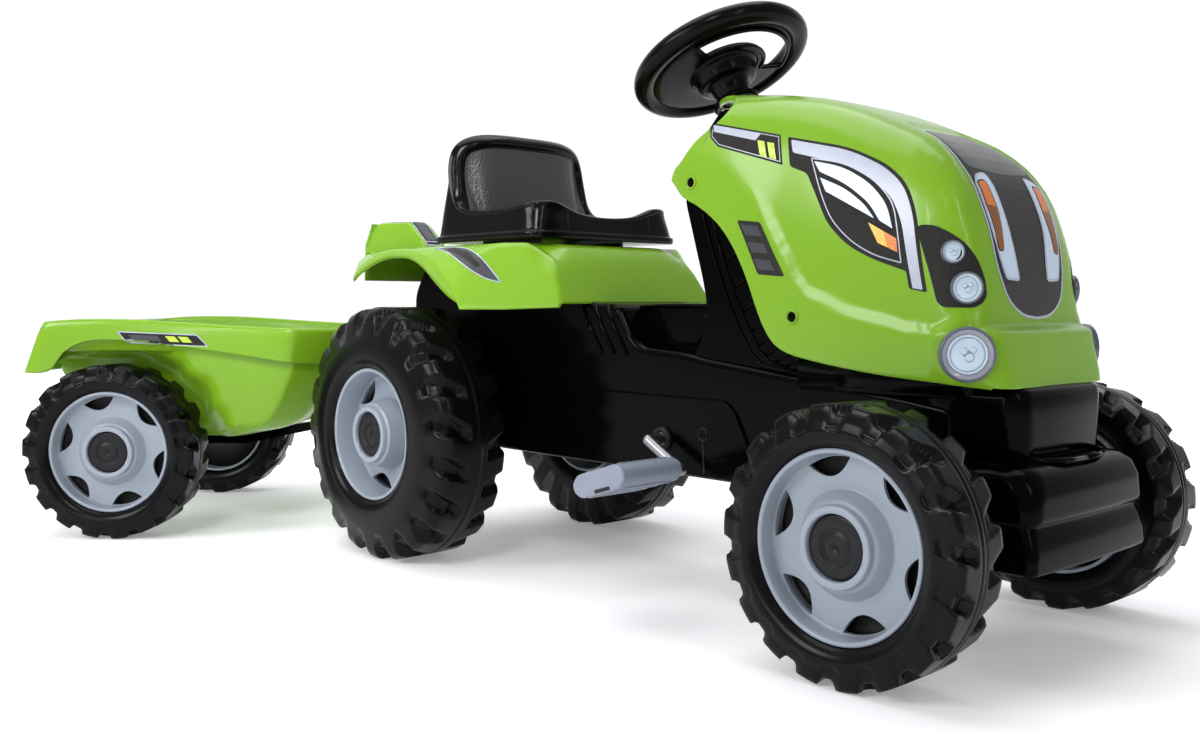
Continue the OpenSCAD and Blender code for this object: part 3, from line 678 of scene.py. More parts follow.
def stickers(name, layers, tree, shoot, cell=5.0, matrix=TRACTOR, body="tractor"):
    """Thin layered film laid on a surface: layers are (outline, material, lift)."""
    verts, faces, index, mats = [], [], [], []
    for outline, mat, lift in layers:
        if mat not in mats:
            mats.append(mat)
        bm = bmesh.new()
        ring = [bm.verts.new((p[0], p[1], 0)) for p in outline]
        bm.faces.new(ring)
        for axis in (0, 1):
            at = min(p[axis] for p in outline) + cell
            normal = Vector((1 - axis, axis, 0))
            while at < max(p[axis] for p in outline):
                bmesh.ops.bisect_plane(bm, geom=bm.verts[:] + bm.edges[:] + bm.faces[:],
                                       plane_co=normal * at, plane_no=normal)
                at += cell
        bmesh.ops.triangulate(bm, faces=bm.faces)
        bm.verts.index_update()
        start = len(verts)
        for v in bm.verts:
            origin, ray = shoot(v.co.x, v.co.y)
            hit, normal, _, _ = tree.ray_cast(origin, ray)
            if hit is None:
                hit, normal, _, _ = tree.find_nearest(origin)
            if normal.dot(ray) > 0:
                normal = -normal
            verts.append(tuple(hit + normal * lift))
        for f in bm.faces:
            faces.append(tuple(start + v.index for v in f.verts))
            index.append(mats.index(mat))
        bm.free()
    o = piece(name, verts, faces, matrix, None, body, slot="cap_black", mats=mats,
              face_mats=index)
    # every face looks away from the surface
    bm = bmesh.new()
    bm.from_mesh(o.data)
    inv = matrix.inverted()
    flip = []
    for f in bm.faces:
        c = (inv @ f.calc_center_median()) / MM
        if (c - tree.find_nearest(c)[0]).dot(inv.to_3x3() @ f.normal) < 0:
            flip.append(f)
    bmesh.ops.reverse_faces(bm, faces=flip)
    bm.to_mesh(o.data)
    bm.free()


def shrink(points, d):
    """Outline moved inwards by d."""
    area = sum(a[0] * b[1] - b[0] * a[1] for a, b in zip(points, points[1:] + points[:1]))
    s = 1 if area > 0 else -1
    out = []
    n = len(points)
    for i in range(n):
        a, b, c = (Vector(points[(i + k) % n]) for k in (-1, 0, 1))
        e, f = (b - a).normalized(), (c - b).normalized()
        n1, n2 = Vector((-e.y, e.x)) * s, Vector((-f.y, f.x)) * s
        out.append(tuple(b + (n1 + n2) * d / max(0.35, 1 + n1.dot(n2))))
    return out


AWAY = (-0.727, 0.687)   # the photograph's line of sight on the floor


def flank_shoot(side, reach=200):
    """Rays straight onto a flank, from reach beside the middle."""
    return lambda x, z: (Vector((x, side * reach, z)), Vector((0, -side, 0)))


def corner_shoot(a, z, side):
    """Ray onto the rounded corner between flank and nose, a along the corner's facet."""
    along = Vector((AWAY[1], side * AWAY[0], 0))
    ray = Vector((AWAY[0], -side * AWAY[1], 0))
    return Vector((660, side * 90, z)) + along * a - ray * 120, ray


BADGE = [(411, 452), (486, 434), (493, 407), (423, 429), (413, 438)]
BADGE_BAR = [(414, 449), (466, 436.5), (462, 431), (416, 443)]
SLASH = [(464, 431), (471, 429.5), (476, 414.5), (469, 416.5)]
WING = round_corners([(494, 431.5), (557, 417), (593, 400), (613, 383), (624, 359), (637, 296),
                      (622, 299), (619, 313), (589, 323), (563, 336), (543, 355), (532, 376),
                      (519, 398), (501, 405)], [2, 40, 40, 40, 40, 2, 2, 2, 30, 30, 30, 30, 4, 3])
BLADE = round_corners([(498, 428.5), (557, 414.5), (591, 398), (610.5, 381.5), (621, 358.5),
                       (633.5, 298), (625, 299.5), (612.5, 352), (602, 372), (582, 389),
                       (553, 403), (502, 417)], [2, 40, 40, 40, 40, 1, 1, 40, 30, 30, 40, 2])
PANE = round_corners([(521, 411), (556, 404), (586, 387), (604, 368), (610, 345), (615, 319),
                      (589, 326), (566, 339), (547, 357), (536, 377)],
                     [2, 30, 30, 30, 20, 2, 20, 30, 30, 30])
GLASS_A = round_corners([(525, 407.5), (554, 400.5), (581, 385), (598, 367), (605, 347), (593, 354),
                         (582, 369), (559, 386), (532, 398)], [1, 20, 30, 30, 1, 1, 30, 20, 1])
GLASS_B = round_corners([(533, 393), (559, 382), (578, 368), (588, 356), (569, 366), (540, 381)],
                        [1, 20, 20, 1, 20, 1])
TURN = [(583, 353), (597, 345.5), (602, 332), (593, 336)]
TURN_TIP = [(597, 345.5), (609, 339), (611, 328), (602, 332)]
VENT = round_corners([(448, 361.5), (475, 358.5), (504, 310.5), (473, 313)], 3)
EYES = round_corners([(-29.5, 349), (-18, 349), (-7, 343), (4, 334.5), (14, 321), (20, 306),
                      (21, 294), (17.5, 288), (10, 284), (-12.5, 284.5), (-16.5, 289),
                      (-20, 306), (-25.5, 330)], 5)


def vent_pane(k):
    a = (452.5 + 7.8 * k, 357.2 - 15.2 * k)
    return round_corners([a, (a[0] + 20, a[1] - 2.2), (a[0] + 25.5, a[1] - 11.4),
                          (a[0] + 5.5, a[1] - 9.4)], 1.5)


for name, side in SIDES:
    shoot = flank_shoot(side)
    stickers("hood_badge_" + name, [
        (BADGE, INK, 0.30), (shrink(BADGE, 1.6), FROST, 0.42), (shrink(BADGE, 2.3), INK, 0.54),
        (BADGE_BAR, FROST, 0.68), (SLASH, LIME, 0.70),
        ([(p[0] + 10, p[1] - 2.5) for p in SLASH], LIME, 0.70)], hood_tree, shoot)
    stickers("hood_wing_" + name, [
        (WING, INK, 0.30), (BLADE, FROST, 0.45), (PANE, FROST, 0.45),
        (shrink(PANE, 1.0), INK, 0.58), (GLASS_A, ICE, 0.72), (GLASS_B, ICE, 0.72),
        (TURN, YOLK, 0.72), (TURN_TIP, AMBER, 0.72)], hood_tree, shoot)
    stickers("hood_vent_" + name, [(VENT, INK, 0.30)] + [
        (vent_pane(k), CARBON, 0.45) for k in range(3)], hood_tree, shoot, 4.0)
    stickers("hood_eyes_" + name, [(EYES, INK, 0.35)], hood_tree,
             lambda a, z: corner_shoot(a, z, side), 2.2)


def facing(at, normal, lift=0.0):
    """Frame on the tractor at a point, its z along normal."""
    return (TRACTOR @ Matrix.Translation(at * MM)
            @ normal.to_track_quat("Z", "Y").to_matrix().to_4x4()
            @ Matrix.Translation((0, 0, lift * MM)))


def hood_hit(origin, ray):
    hit, normal, _, _ = hood_tree.ray_cast(origin, ray)
    return hit, (-normal if normal.dot(ray) > 0 else normal)


def lamp_unit(name, a, z, side, ring, glass, nodes, depth, lift):
    """Round lamp on the nose's corner: bezel ring, reflector bowl and ribbed lens."""
    origin, ray = corner_shoot(a, z, side)
    hit, normal = hood_hit(origin, ray)
    turnm = facing(hit, (normal * 0.3 - ray * 0.7).normalized(), lift)
    face = depth * 0.42

    def ring_of(part, profile, mat, count=64, at=turnm, slot="bezel_silver", **extra):
        turn(name + part, profile, at, mat, "tractor", count, slot=slot, **extra)

    wide = ring - (2.4 if ring > 20 else 1.4)
    ring_of("_bezel", [(wide, depth * 0.5), (wide + 0.3, depth * 0.9), (ring - 1.0, depth),
                       (ring - 0.3, depth * 0.8), (ring, depth * 0.2), (ring, -4), (wide, -4)],
            CHROME, nodes=nodes[:1])
    ring_of("_bowl", [(glass, depth * 0.3), (glass + (wide - glass) * 0.5, face),
                      (wide - 0.4, depth * 0.85), (wide + 0.2, depth * 0.85),
                      (wide + 0.2, -3), (glass, -3)], SILVER)
    ring_of("_trim", [(glass + 0.2, depth * 0.5), (glass + 0.9, depth * 0.66),
                      (glass + 1.8, depth * 0.62), (glass + 2.2, depth * 0.4),
                      (glass + 0.2, depth * 0.3)], ICE)
    # painted highlights: three small pale discs on the lens stand in for glints of light
    for k, (bx, by, br) in enumerate(((0.10, -0.16, 0.30), (-0.22, 0.20, 0.24),
                                      (0.30, 0.26, 0.20))):
        ring_of("_glint%d" % k, [(0.01, face + 1.3), (glass * br * 0.6, face + 1.1),
                                 (glass * br, face + 0.2), (0.01, depth * 0.3)], ICE, 24,
                turnm @ Matrix.Translation((bx * glass * MM, by * glass * MM, 0)), "lens_clear")
    ribs = 9
    lens = [(0.01, face)] + [
        (glass * k / ribs, face + (0.45 if k % 2 else 0.0) - 0.9 * (k / ribs) ** 2)
        for k in range(1, ribs + 1)] + [(glass, -1.5), (0.01, -1.5)]
    ring_of("_lens", lens, LENS, nodes=nodes[1:], slot="lens_clear")
    ring_of("_bulb", [(0.01, face + 1.0), (glass * 0.16, face + 0.9), (glass * 0.24, face + 0.3),
                      (glass * 0.28, depth * 0.3), (0.01, depth * 0.3)], SILVER, 32)


for k, (name, side) in enumerate(SIDES):
    lamp_unit("headlamp_" + name, 2, 248.5, side, 21.4, 13.2,
              ["lamp_bezels", "lamp_lenses"] if k == 0 else [], 4.4, 1.0)
    lamp_unit("upper_lamp_" + name, -5, 327.2, side, 9.4, 6.8, [], 2.6, 0.9)
    lamp_unit("lower_lamp_" + name, 4.5, 299.4, side, 12.8, 8.8, [], 3.0, 0.9)

NOSE_PATH = [(586, 435.6)] + NOSE
lengths = [0]
for a, b in zip(NOSE_PATH, NOSE_PATH[1:]):
    lengths.append(lengths[-1] + math.hypot(b[0] - a[0], b[1] - a[1]))


def nose_shoot(s, y):
    """Ray onto the nose, s along its middle line from the top."""
    x, x1, z, z1 = (follow(list(zip(lengths, [p[axis] for p in NOSE_PATH])), at)
                    for axis in (0, 1) for at in (s, s + 4))
    along = Vector((x1 - x, 0, z1 - z)).normalized()
    out = Vector((-along.z, 0, along.x))
    return Vector((x, y, z)) + out * 60, -out


mask = [(4, 34, 3), (24, 42, 8), (56, 55, 20), (100, 60, 20), (132, 59, 20), (160, 56, 20),
        (186, 45, 14), (198, 24, 14)]
mask = [(4, -34, 3)] + mask + [(200, 0, 4)] + [(p, -q, r) for p, q, r in mask[:0:-1]]
MASK = round_corners([p[:2] for p in mask], [p[2] for p in mask])
CLAW = round_corners([(74, 31), (78, 49), (88, 56), (126, 56.5), (152, 50.5), (168, 44.5),
                      (169, 23), (154, 24), (124, 29), (88, 29)],
                     [8, 10, 8, 20, 10, 4, 4, 10, 20, 8])
FLAME = round_corners([(84, 40), (86, 51), (106, 52), (144, 49.5), (144, 43.5), (108, 39)], 3)
EMBER = [(106, 52), (144, 49.5), (144, 43.5), (108, 39)]
layers = [(MASK, FROST, 0.30), (shrink(MASK, 2.2), INK, 0.44),
          (round_corners([(6, -31), (6, 31), (50, 48), (70, 50), (76, 0), (70, -50), (50, -48)],
                         [3, 3, 10, 8, 20, 8, 10]), CARBON, 0.56)]
for shape, mat, lift in ((CLAW, FROST, 0.62), (shrink(CLAW, 2.2), ICE, 0.74),
                         (shrink(FLAME, -1.4), INK, 0.84), (FLAME, AMBER, 0.94),
                         (shrink(EMBER, 0.6), RUST, 1.02)):
    layers += [(shape, mat, lift), ([(p[0], -p[1]) for p in shape], mat, lift)]
stickers("nose_mask", layers, hood_tree, nose_shoot, 3.0)

for name, side in SIDES:
    for k, (x, z) in enumerate(((392, 399), (512, 276))):
        turnm = facing(*hood_hit(*flank_shoot(side)(x, z)))
        dish = [(7.0, 0.1), (6.2, 1.2), (5.0, 1.3), (4.4, 0.4), (4.2, -1.6), (7.0, -1.6)]
        turn("screw_seat_%s_%d" % (name, k), dish, turnm, GREEN, "tractor", 40, slot="body_green")
        head = [(0.01, 0.25), (1.0, 0.15), (3.9, 0.35), (4.3, 0.1), (4.3, -1.2), (0.01, -1.4)]
        turn("screw_head_%s_%d" % (name, k), head, turnm, BLACK, "tractor", 24,
             nodes=["hood_screws"] if (k == 0 and side < 0) else [], slot="cap_black")
piece("column_collar", *collar, TRACTOR, BLACK, slot="chassis_black")


# ---- dash column ----

BAND = [(376, 384), (379, 367), (392, 330), (408, 292), (424, 262), (436, 243), (450, 231),
        (470, 227), (492, 228)]
column = round_corners([(366, 236), (378, 262), (382, 284), (377, 308), (353, 388), (362, 430),
                        (400, 470), (440, 462), (470, 440), (455, 345), (500, 262), (514, 244),
                        (502, 222)], [3, 14, 14, 20, 10, 10, 10, 10, 10, 20, 20, 6, 4], 6)
block("dash_shell", column, -70, 70, nodes=["dash_column"], bevel=6, segments=4, angle=50)
for name, side in SIDES:
    y = side * 70.4
    outer = [(x, y, z) for x, z in BAND]
    cords = [outer, [(x + 9, y, z + 3) for x, z in BAND[1:-1]]]
    for k in range(11):
        t = 0.1 + 0.085 * k
        i = t * (len(BAND) - 1)
        a, f = int(i), i - int(i)
        x = BAND[a][0] * (1 - f) + BAND[min(a + 1, len(BAND) - 1)][0] * f
        z = BAND[a][1] * (1 - f) + BAND[min(a + 1, len(BAND) - 1)][1] * f
        cords.append([(x + 10, y, z + 4), (x + 19, y, z + 9), (x + 27, y, z + 12)])
    tube_pieces("dash_ribs_" + name, cords, 1.5)
    studs = [[(x, side * 69, z), (x, side * 71.4, z)]
             for x, z in ((424, 322), (436, 300), (450, 281), (466, 262), (484, 248))]
    tube_pieces("dash_studs_" + name, studs, 3.0, steps=16)

# ---- chassis ----

lower = round_corners([(-96, 132), (60, 122), (440, 119), (458, 134), (640, 136), (646, 160),
                       (646, 205), (600, 212), (500, 222), (380, 236), (360, 240), (300, 244),
                       (286, 254), (268, 286), (250, 288), (226, 288), (200, 300), (170, 336),
                       (-70, 338), (-96, 300)],
                      [8, 30, 12, 10, 8, 8, 8, 20, 30, 12, 10, 14, 20, 8, 8, 12, 14, 14, 10, 12], 5)
block("chassis_shell", lower, -76, 76, nodes=["chassis"], bevel=9, segments=5, angle=50)
spine = [(252, 236), (376, 236), (381, 262), (380, 286), (252, 286)]
block("chassis_spine", spine, -45, 45, bevel=3.5, segments=4)
for name, side in SIDES:
    rim_path = [(272, side * 45, 284.5), (300, side * 46, 285.5), (340, side * 46, 285.8),
                (378, side * 46, 285.6)]
    foot_path = [(283, side * 46, 252), (310, side * 47, 247.5), (350, side * 47, 247),
                 (366, side * 56, 258), (378, side * 66, 276)]
    wall_path = [(264, side * 46, 284), (272, side * 46, 268), (283, side * 46, 252)]
    tube_pieces("recess_edges_" + name, [rim_path, foot_path, wall_path], 1.9)
    tube_pieces("body_flutes_" + name, [
        [(x, side * 75.2, 286), (x + 12, side * 76, 262), (x + 30, side * 76, 236)]
        for x in (214, 232, 250)], 2.6)

# ---- crank covers ----

panel = round_corners([(104, 124), (436, 122), (446, 134), (440, 158), (424, 188), (410, 197),
                       (200, 199), (104, 190)], [6, 10, 8, 20, 10, 16, 30, 10], 5)
for name, side in SIDES:
    block("crank_panel_" + name, panel, side * 76, side * 78.9,
          nodes=["crank_cover_" + name], bevel=1.4)
    key = [(390, 163)] + [(386 + 6 * math.cos(a), 163 + 6 * math.sin(a))
                          for a in [math.radians(d) for d in range(30, 331, 20)]]
    tube_pieces("keyhole_" + name, [[(x, side * 79, z) for x, z in key],
                                    [(386, side * 79, 156), (387, side * 79, 140),
                                     (388, side * 79, 125)]], 1.0, SATIN)
    grommet = Matrix.Translation((333 * MM, side * 78.8 * MM, 155 * MM)) @ Matrix.Rotation(
        math.radians(-90 * side), 4, "X")
    turn("grommet_" + name, [(6.2, 0), (6.2, 3), (7.6, 4.6), (9.6, 5), (11.4, 4.4), (12.2, 2.6),
                             (12.6, 0)], TRACTOR @ grommet, SATIN, "tractor", 48,
         slot="chassis_black")

# ---- front weight ----

def nose_ring(back, front, half, radius, z):
    """Plan outline with rounded front corners and a face that is bowed by 2 mm."""
    bow, steps = 2.0, 14
    inner = half - radius
    right = [(back, -half), ((back + front) / 2, -half - 0.6)]
    for k in range(steps + 1):
        a = -math.pi / 2 + math.pi / 2 * k / steps
        right.append((front - radius + radius * math.cos(a), -inner + radius * math.sin(a)))
    right += [(front + bow * (1 - k * k), -inner * k) for k in (0.75, 0.5, 0.25)]
    return [(x, y, z) for x, y in right + [(front + bow, 0)] + [(x, -y) for x, y in right[::-1]]]


loft("weight_upper", [nose_ring(*r) for r in (
    (600, 695, 64, 16, 158), (598, 701, 69, 18, 162), (597, 704, 72.5, 20, 170),
    (597, 704.5, 73.5, 20, 195), (597, 704, 74, 19, 212), (598, 702.5, 73, 18, 219),
    (600, 697, 69, 16, 222.5))], nodes=["front_weight"])
loft("nose_shelf", [nose_ring(*r) for r in (
    (500, 664, 78, 14, 212), (498, 666, 80, 16, 216), (498, 666, 80, 16, 236),
    (500, 664, 78, 14, 238))])
loft("weight_lower", [nose_ring(*r) for r in (
    (652, 724, 94, 8, 84), (650, 729.1, 99, 8, 85.4), (650, 729.9, 100, 8, 88),
    (650, 729, 99, 9, 100), (650, 726, 97.5, 11, 112), (650, 723.5, 96, 13, 119),
    (650, 723.5, 96, 14, 121), (650, 728, 99, 15, 123), (650, 729, 100, 17, 128),
    (650, 728, 99.5, 20, 146), (650, 724, 97, 22, 157), (651, 716, 91, 22, 163.5),
    (655, 703, 80, 20, 166.5))])
for name, side in SIDES:
    ledge = [(650, side * 60, 165), (690, side * 62, 167.5), (712, side * 52, 166.5),
             (720, side * 26, 165.5), (721, 0, 165)]
    tube_pieces("weight_bead_" + name, [ledge], 2.4)

# ---- saddle ----

ARCH_LOW = [(-133, 315), (-122, 320), (-104, 325.5), (-74, 333), (-37, 338.5), (-3, 339.5),
            (30, 336.5), (62, 326), (93, 309), (122, 294.5), (150, 286)]
ARCH_TOP = [(-133, 319), (-126, 324.5), (-96, 338), (-59, 346), (-16, 349), (18, 347.5),
            (44, 344.5), (75, 334.5), (105, 320), (128, 305), (150, 288.5)]
INNER_TOP = [(-133, 344), (-112, 350), (-60, 353), (0, 354), (172, 355)]
APRON = [(150, 375), (165, 359.5), (172, 355), (176, 352.8), (186, 347), (196, 337), (203, 326.5),
         (210, 314.8), (217, 302.5), (224, 290)]


DECK_Z = 352


def soft_min(a, b, k):
    """The smaller of a and b, rounded over k where they are close."""
    h = max(k - abs(a - b), 0) / k
    return min(a, b) - h * h * k * 0.25


def saddle_edge(x):
    """Half-width of the saddle's outer edge at x."""
    return 139 + (x + 135) * 50 / 285 if x <= 150 else 189 - (x - 150) * 70 / 74


def saddle_z(x, y):
    """Height of the saddle's skin: deck, front apron, corner facet and fender in one."""
    # the corner facet is the plane 0.582 x + 0.641 y + 0.5 z = 349.3
    facet = (349.3 - 0.582 * x - 0.641 * y) / 0.5
    deck = soft_min(soft_min(DECK_Z + 0.1, facet, 6), follow(APRON, x) if x > 150 else 400, 5)
    out = saddle_edge(x)
    if y > 110 and x <= 172:
        top = follow(ARCH_TOP, min(x, 150))
        t = max(0.0, min(1.0, (out - y) / max(out - 124, 8)))
        inner = follow(INNER_TOP, x)
        deck = soft_min(deck, top + (inner - top) * (1 - (1 - t) ** 1.9), 4)
    notch = max(0, 1 - math.hypot((x - 184) / 22, (y - 100) / 20))
    return max(deck - 8 * notch, 284)


xs = [-133 + 3 * k for k in range(116)] + [215.5, 218, 220.5, 222.4, 223.5, 224]
rows = []
for x in sorted(set(xs)):
    edge = saddle_edge(x)
    ys = [15 * k for k in range(6)] + [90 + (edge - 0.6 - 90) * k / 36 for k in range(37)]
    half = [(x, y, saddle_z(x, y)) for y in ys]
    last_z = half[-1][2]
    band = max(last_z - follow(ARCH_LOW, x), 2.4) if x <= 150 else 2.4
    half += [(x, edge + 0.2, last_z - band * 0.22), (x, edge + 0.4, last_z - band * 0.6),
             (x, edge - 0.2, last_z - band * 0.96), (x, edge - 1.6, last_z - band - 0.3),
             (x, edge - 3.2, last_z - band + 0.8)]
    rows.append([(a, -b, c) for a, b, c in half[:0:-1]] + half)
front = rows[-1]
for dx, dz in ((0.5, -1.2), (0.1, -2.6), (-1.6, -2.4)):
    rows.append([(a + dx, b, max(c + dz, 286.8)) for a, b, c in front])
saddle = sheet("saddle_shell", rows, nodes=["saddle"])
face_up(saddle)
modify(saddle, "wall", "SOLIDIFY", thickness=2.6 * MM, offset=-1)

HUMP = [(-134, 352), (-124, 366), (-112, 383), (-104, 385.6), (-44, 383.6), (-36, 379),
        (-14, 360), (-8, 352)]
for name, side in SIDES:
    rows = []
    for x, z in HUMP:
        lift = (z - DECK_Z) / 34
        rows.append([(x, side * (121 - 0.5 * lift), 350), (x, side * 121, (z + DECK_Z) / 2),
                     (x, side * (120.2 - lift), z - 1.6 * lift), (x, side * (118 - lift), z),
                     (x, side * 105, z + 0.4 * lift), (x, side * (92 + lift), z),
                     (x, side * (90 + lift), z - 1.6 * lift), (x, side * 90, 350)])
    fix_normals(sheet("hump_" + name, rows, bevel=1.6, segments=2, angle=20))
rows = []
for k in range(25):
    y = -121 + 242 * k / 24
    rise = 34 * smooth(abs(y), 84, 93)
    rows.append([(-134, y, 316), (-133.4, y, 335), (-131, y, 350 + rise * 0.3),
                 (-124 + rise * 0.2, y, DECK_Z + rise * 0.96),
                 (-118, y, DECK_Z + 0.2 + rise * 0.96)])
fix_normals(sheet("saddle_back", rows, thick=2.6))


def tree_of(names, matrix):
    """Search tree of built pieces, in millimetres in the frame of matrix."""
    inv = matrix.inverted()
    verts, faces = [], []
    for n in names:
        me = bpy.data.objects[n].data
        base = len(verts)
        verts += [(inv @ v.co) / MM for v in me.vertices]
        faces += [tuple(i + base for i in p.vertices) for p in me.polygons]
    return BVHTree.FromPolygons(verts, faces)


saddle_tree = tree_of(("hump_left", "hump_right", "saddle_back", "saddle_shell"), TRACTOR)
FENDER_DECAL = round_corners([(-14, 350), (7, 350), (27, 344), (45, 328), (58, 311), (66, 300),
                              (49, 304), (30, 316), (17, 328), (3, 341)],
                             [1, 6, 14, 20, 10, 1, 12, 14, 14, 10])
FENDER_BAR = round_corners([(0, 346.5), (11, 346.5), (28, 337), (43, 320), (38, 318), (22, 332)],
                           2)
HUMP_DECAL = round_corners([(-98, 95), (-98, 116), (-46, 116), (-10, 116), (-10, 95), (-46, 95)],
                           2)
MARK = [(-80, 100), (-86, 111), (-74, 111), (-69, 100)]
for name, side in SIDES:
    def drop(x, y):
        return Vector((x, side * y, 440)), Vector((0, 0, -1))

    def slope(a, z):
        """Ray onto the fender, a across its outer slope."""
        ray = Vector((-0.72, -side * 0.68, -0.14))
        at = Vector((80 + 0.687 * a, side * (155 - 0.727 * a), z))
        return at - ray * 90, ray
    stickers("fender_sticker_" + name, [
        (FENDER_DECAL, FROST, 0.3), (shrink(FENDER_DECAL, 1.2), CARBON, 0.45),
        (FENDER_BAR, INK, 0.6)], saddle_tree, slope, 3.0)
    stickers("hump_sticker_" + name, [
        (HUMP_DECAL, FROST, 0.3), (shrink(HUMP_DECAL, 1.4), INK, 0.45), (MARK, LIME, 0.6),
        ([(p[0] + 12, p[1]) for p in MARK], LIME, 0.6),
        ([(-44, 99), (-44, 112), (-16, 112), (-16, 99)], CARBON, 0.6)], saddle_tree, drop, 3.0)

# ---- seat ----

RIM_CURVE = [(31, 0, 486.5), (31, 32, 486.3), (29.4, 58, 485), (25, 78, 481), (20, 92, 473),
             (17.4, 100, 461), (17.6, 103.6, 446), (20, 105, 430), (25, 106, 413),
             (34, 106.6, 401), (48, 107, 394.6), (68, 107, 392), (95, 107, 391.4),
             (120, 107, 392), (140, 106.4, 394), (155, 104, 396), (166, 98, 397.4),
             (172, 87, 398), (174.4, 74, 396.4), (174.6, 60, 391.6), (174, 42, 386.4),
             (173.4, 20, 384), (173, 0, 383.4)]
BASE_CURVE = [(-4, 0), (-4, 32), (-4, 60), (-4, 84), (-3.4, 98), (-1, 105), (4, 109), (12, 110.6),
              (24, 111), (36, 111), (52, 111), (70, 111), (95, 111), (122, 111), (144, 111),
              (160, 110), (170, 106), (175.4, 98), (177.4, 84), (178, 62), (178, 42), (178, 20),
              (178, 0)]


def closed(half):
    """Ring from its half with y >= 0, whose ends lie on the middle."""
    return half + [(p[0], -p[1], *p[2:]) for p in half[-2:0:-1]]


def refine(ring, times=3):
    """Closed ring with times as many points, on a smooth curve through the old ones."""
    out = []
    n = len(ring)
    for i in range(n):
        a, b, c, d = (Vector(ring[(i + k) % n]) for k in (-1, 0, 1, 2))
        for k in range(times):
            t = k / times
            out.append(tuple(b + (c - a) * (t - 2 * t * t + t ** 3) / 2
                             + (3 * t * t - 2 * t ** 3) * (c - b)
                             + (t ** 3 - t * t) * (d - b) / 2))
    return out


SEAT_X = 92   # middle of the seat pan
seat_rim = refine(closed(RIM_CURVE))
seat_base = refine(closed([(x, y, 357) for x, y in BASE_CURVE]))


def outer_ring(t, dz, grow, bulge=0.0):
    """Ring of the seat's outer skin, t from its base to its rim."""
    out = []
    for p, q in zip(seat_base, seat_rim):
        m = Vector(p).lerp(Vector(q), t)
        flat = Vector((m.x - SEAT_X, m.y, 0)).normalized()
        m += flat * (grow + bulge * math.sin(math.pi * t)) + Vector((0, 0, dz))
        out.append(tuple(m))
    return out


def inward_ring(d, face, drop, mix=0.0):
    """Ring d inside the rim: face forward of the backrest, drop below the low sides."""
    out = []
    for i, p in enumerate(seat_rim):
        a, b = Vector(seat_rim[i - 1]), Vector(seat_rim[(i + 1) % len(seat_rim)])
        t = (b - a).normalized()
        p = Vector(p)
        flat = Vector((SEAT_X - p.x, -p.y, 0)).normalized()
        level = (flat - t * flat.dot(t)).normalized()
        upright = t.cross(Vector((1, 0, 0)))
        upright = (upright if upright.dot(Vector((0, -p.y, 428 - p.z))) > 0 else -upright)
        high = smooth(p.z, 396, 428)
        into = (level * (1 - high) + upright * high).normalized()
        q = p + into * d + Vector((face, 0, 0)) * high + Vector((0, 0, -drop)) * (1 - high)
        if mix:
            to = Vector((max(50, min(154, SEAT_X + (q.x - SEAT_X) * 0.9)), q.y * 0.88, 367))
            q = q.lerp(to, mix)
        out.append(tuple(q))
    return out


rings = [[(SEAT_X + (x - SEAT_X) * 0.96, y * 0.96, 357.2) for x, y, z in seat_base],
         [(x, y, 357) for x, y, z in seat_base]]
rings += [outer_ring(*r) for r in (
    (0.0, 0.8, 1.8), (0.0, 3.0, 2.0), (0.0, 6.6, 2.0), (0.0, 7.6, 1.2), (0.0, 7.8, -1.4),
    (0.06, 8.4, -1.8), (0.3, 5.4, -1.6, 0.4), (0.55, 3.4, -2.4, 0.6), (0.78, 1.4, -2.4, 0.6),
    (0.92, -0.4, -1.2, 0.4))]
rings += [inward_ring(*r) for r in (
    (0.0, -3.4, 4.0), (0.6, -1.4, 1.8), (2.0, 1.6, 0.5), (4.4, 5.2, 0.0), (7.4, 8.0, 0.7),
    (10.4, 9.2, 2.4), (12.8, 8.6, 5.0), (14.4, 6.6, 7.6), (15.6, 5.4, 8.8), (17.2, 6.0, 8.8),
    (20.0, 6.6, 9.0))]
smooth_rings = len(rings) - 2
rings += [inward_ring(22, 7, 9, mix) for mix in (0.2, 0.4, 0.58, 0.74, 0.87, 0.96)]
last = rings[-1]
PAN_Z = 366.4
rings += [[(SEAT_X + (x - SEAT_X) * k, y * k, PAN_Z + (z - PAN_Z) * k) for x, y, z in last]
          for k in (0.75, 0.5, 0.25, 0.04)]
n = len(rings[0])
v = [p for r in rings for p in r]
f = grid_faces(len(rings), n, False, True)
index = [0 if i < smooth_rings * n else 1 for i in range(len(f))]
f += [tuple(range(n)), tuple(range(len(v) - 1, len(v) - n - 1, -1))]
index += [0, 1]
seat = piece("seat_shell", v, f, TRACTOR, None, "seat", ["seat"], "seat_black",
             mats=[SEAT, GRAIN], face_mats=index)
fix_normals(seat)
modify(seat, "smooth", "SUBSURF", levels=1, render_levels=1)
for name, side in SIDES:
    crease = [(175.8, side * 62, 367), (175.2, side * 62, 376), (174.4, side * 62, 384),
              (172, side * 62, 388), (165, side * 61, 387.4)]
    tube_pieces("seat_crease_" + name, [crease], 0.8, SATIN, "seat", "seat_black")
    runner = round_corners([(30, 352.8), (130, 352.8), (130, 360), (30, 360)], 2)
    block("seat_runner_" + name, runner, side * 60.4, side * 65.6, TRACTOR, SEAT, "seat",
          "seat_black", bevel=0.5)

# ---- steering wheel, drawn along the column ----

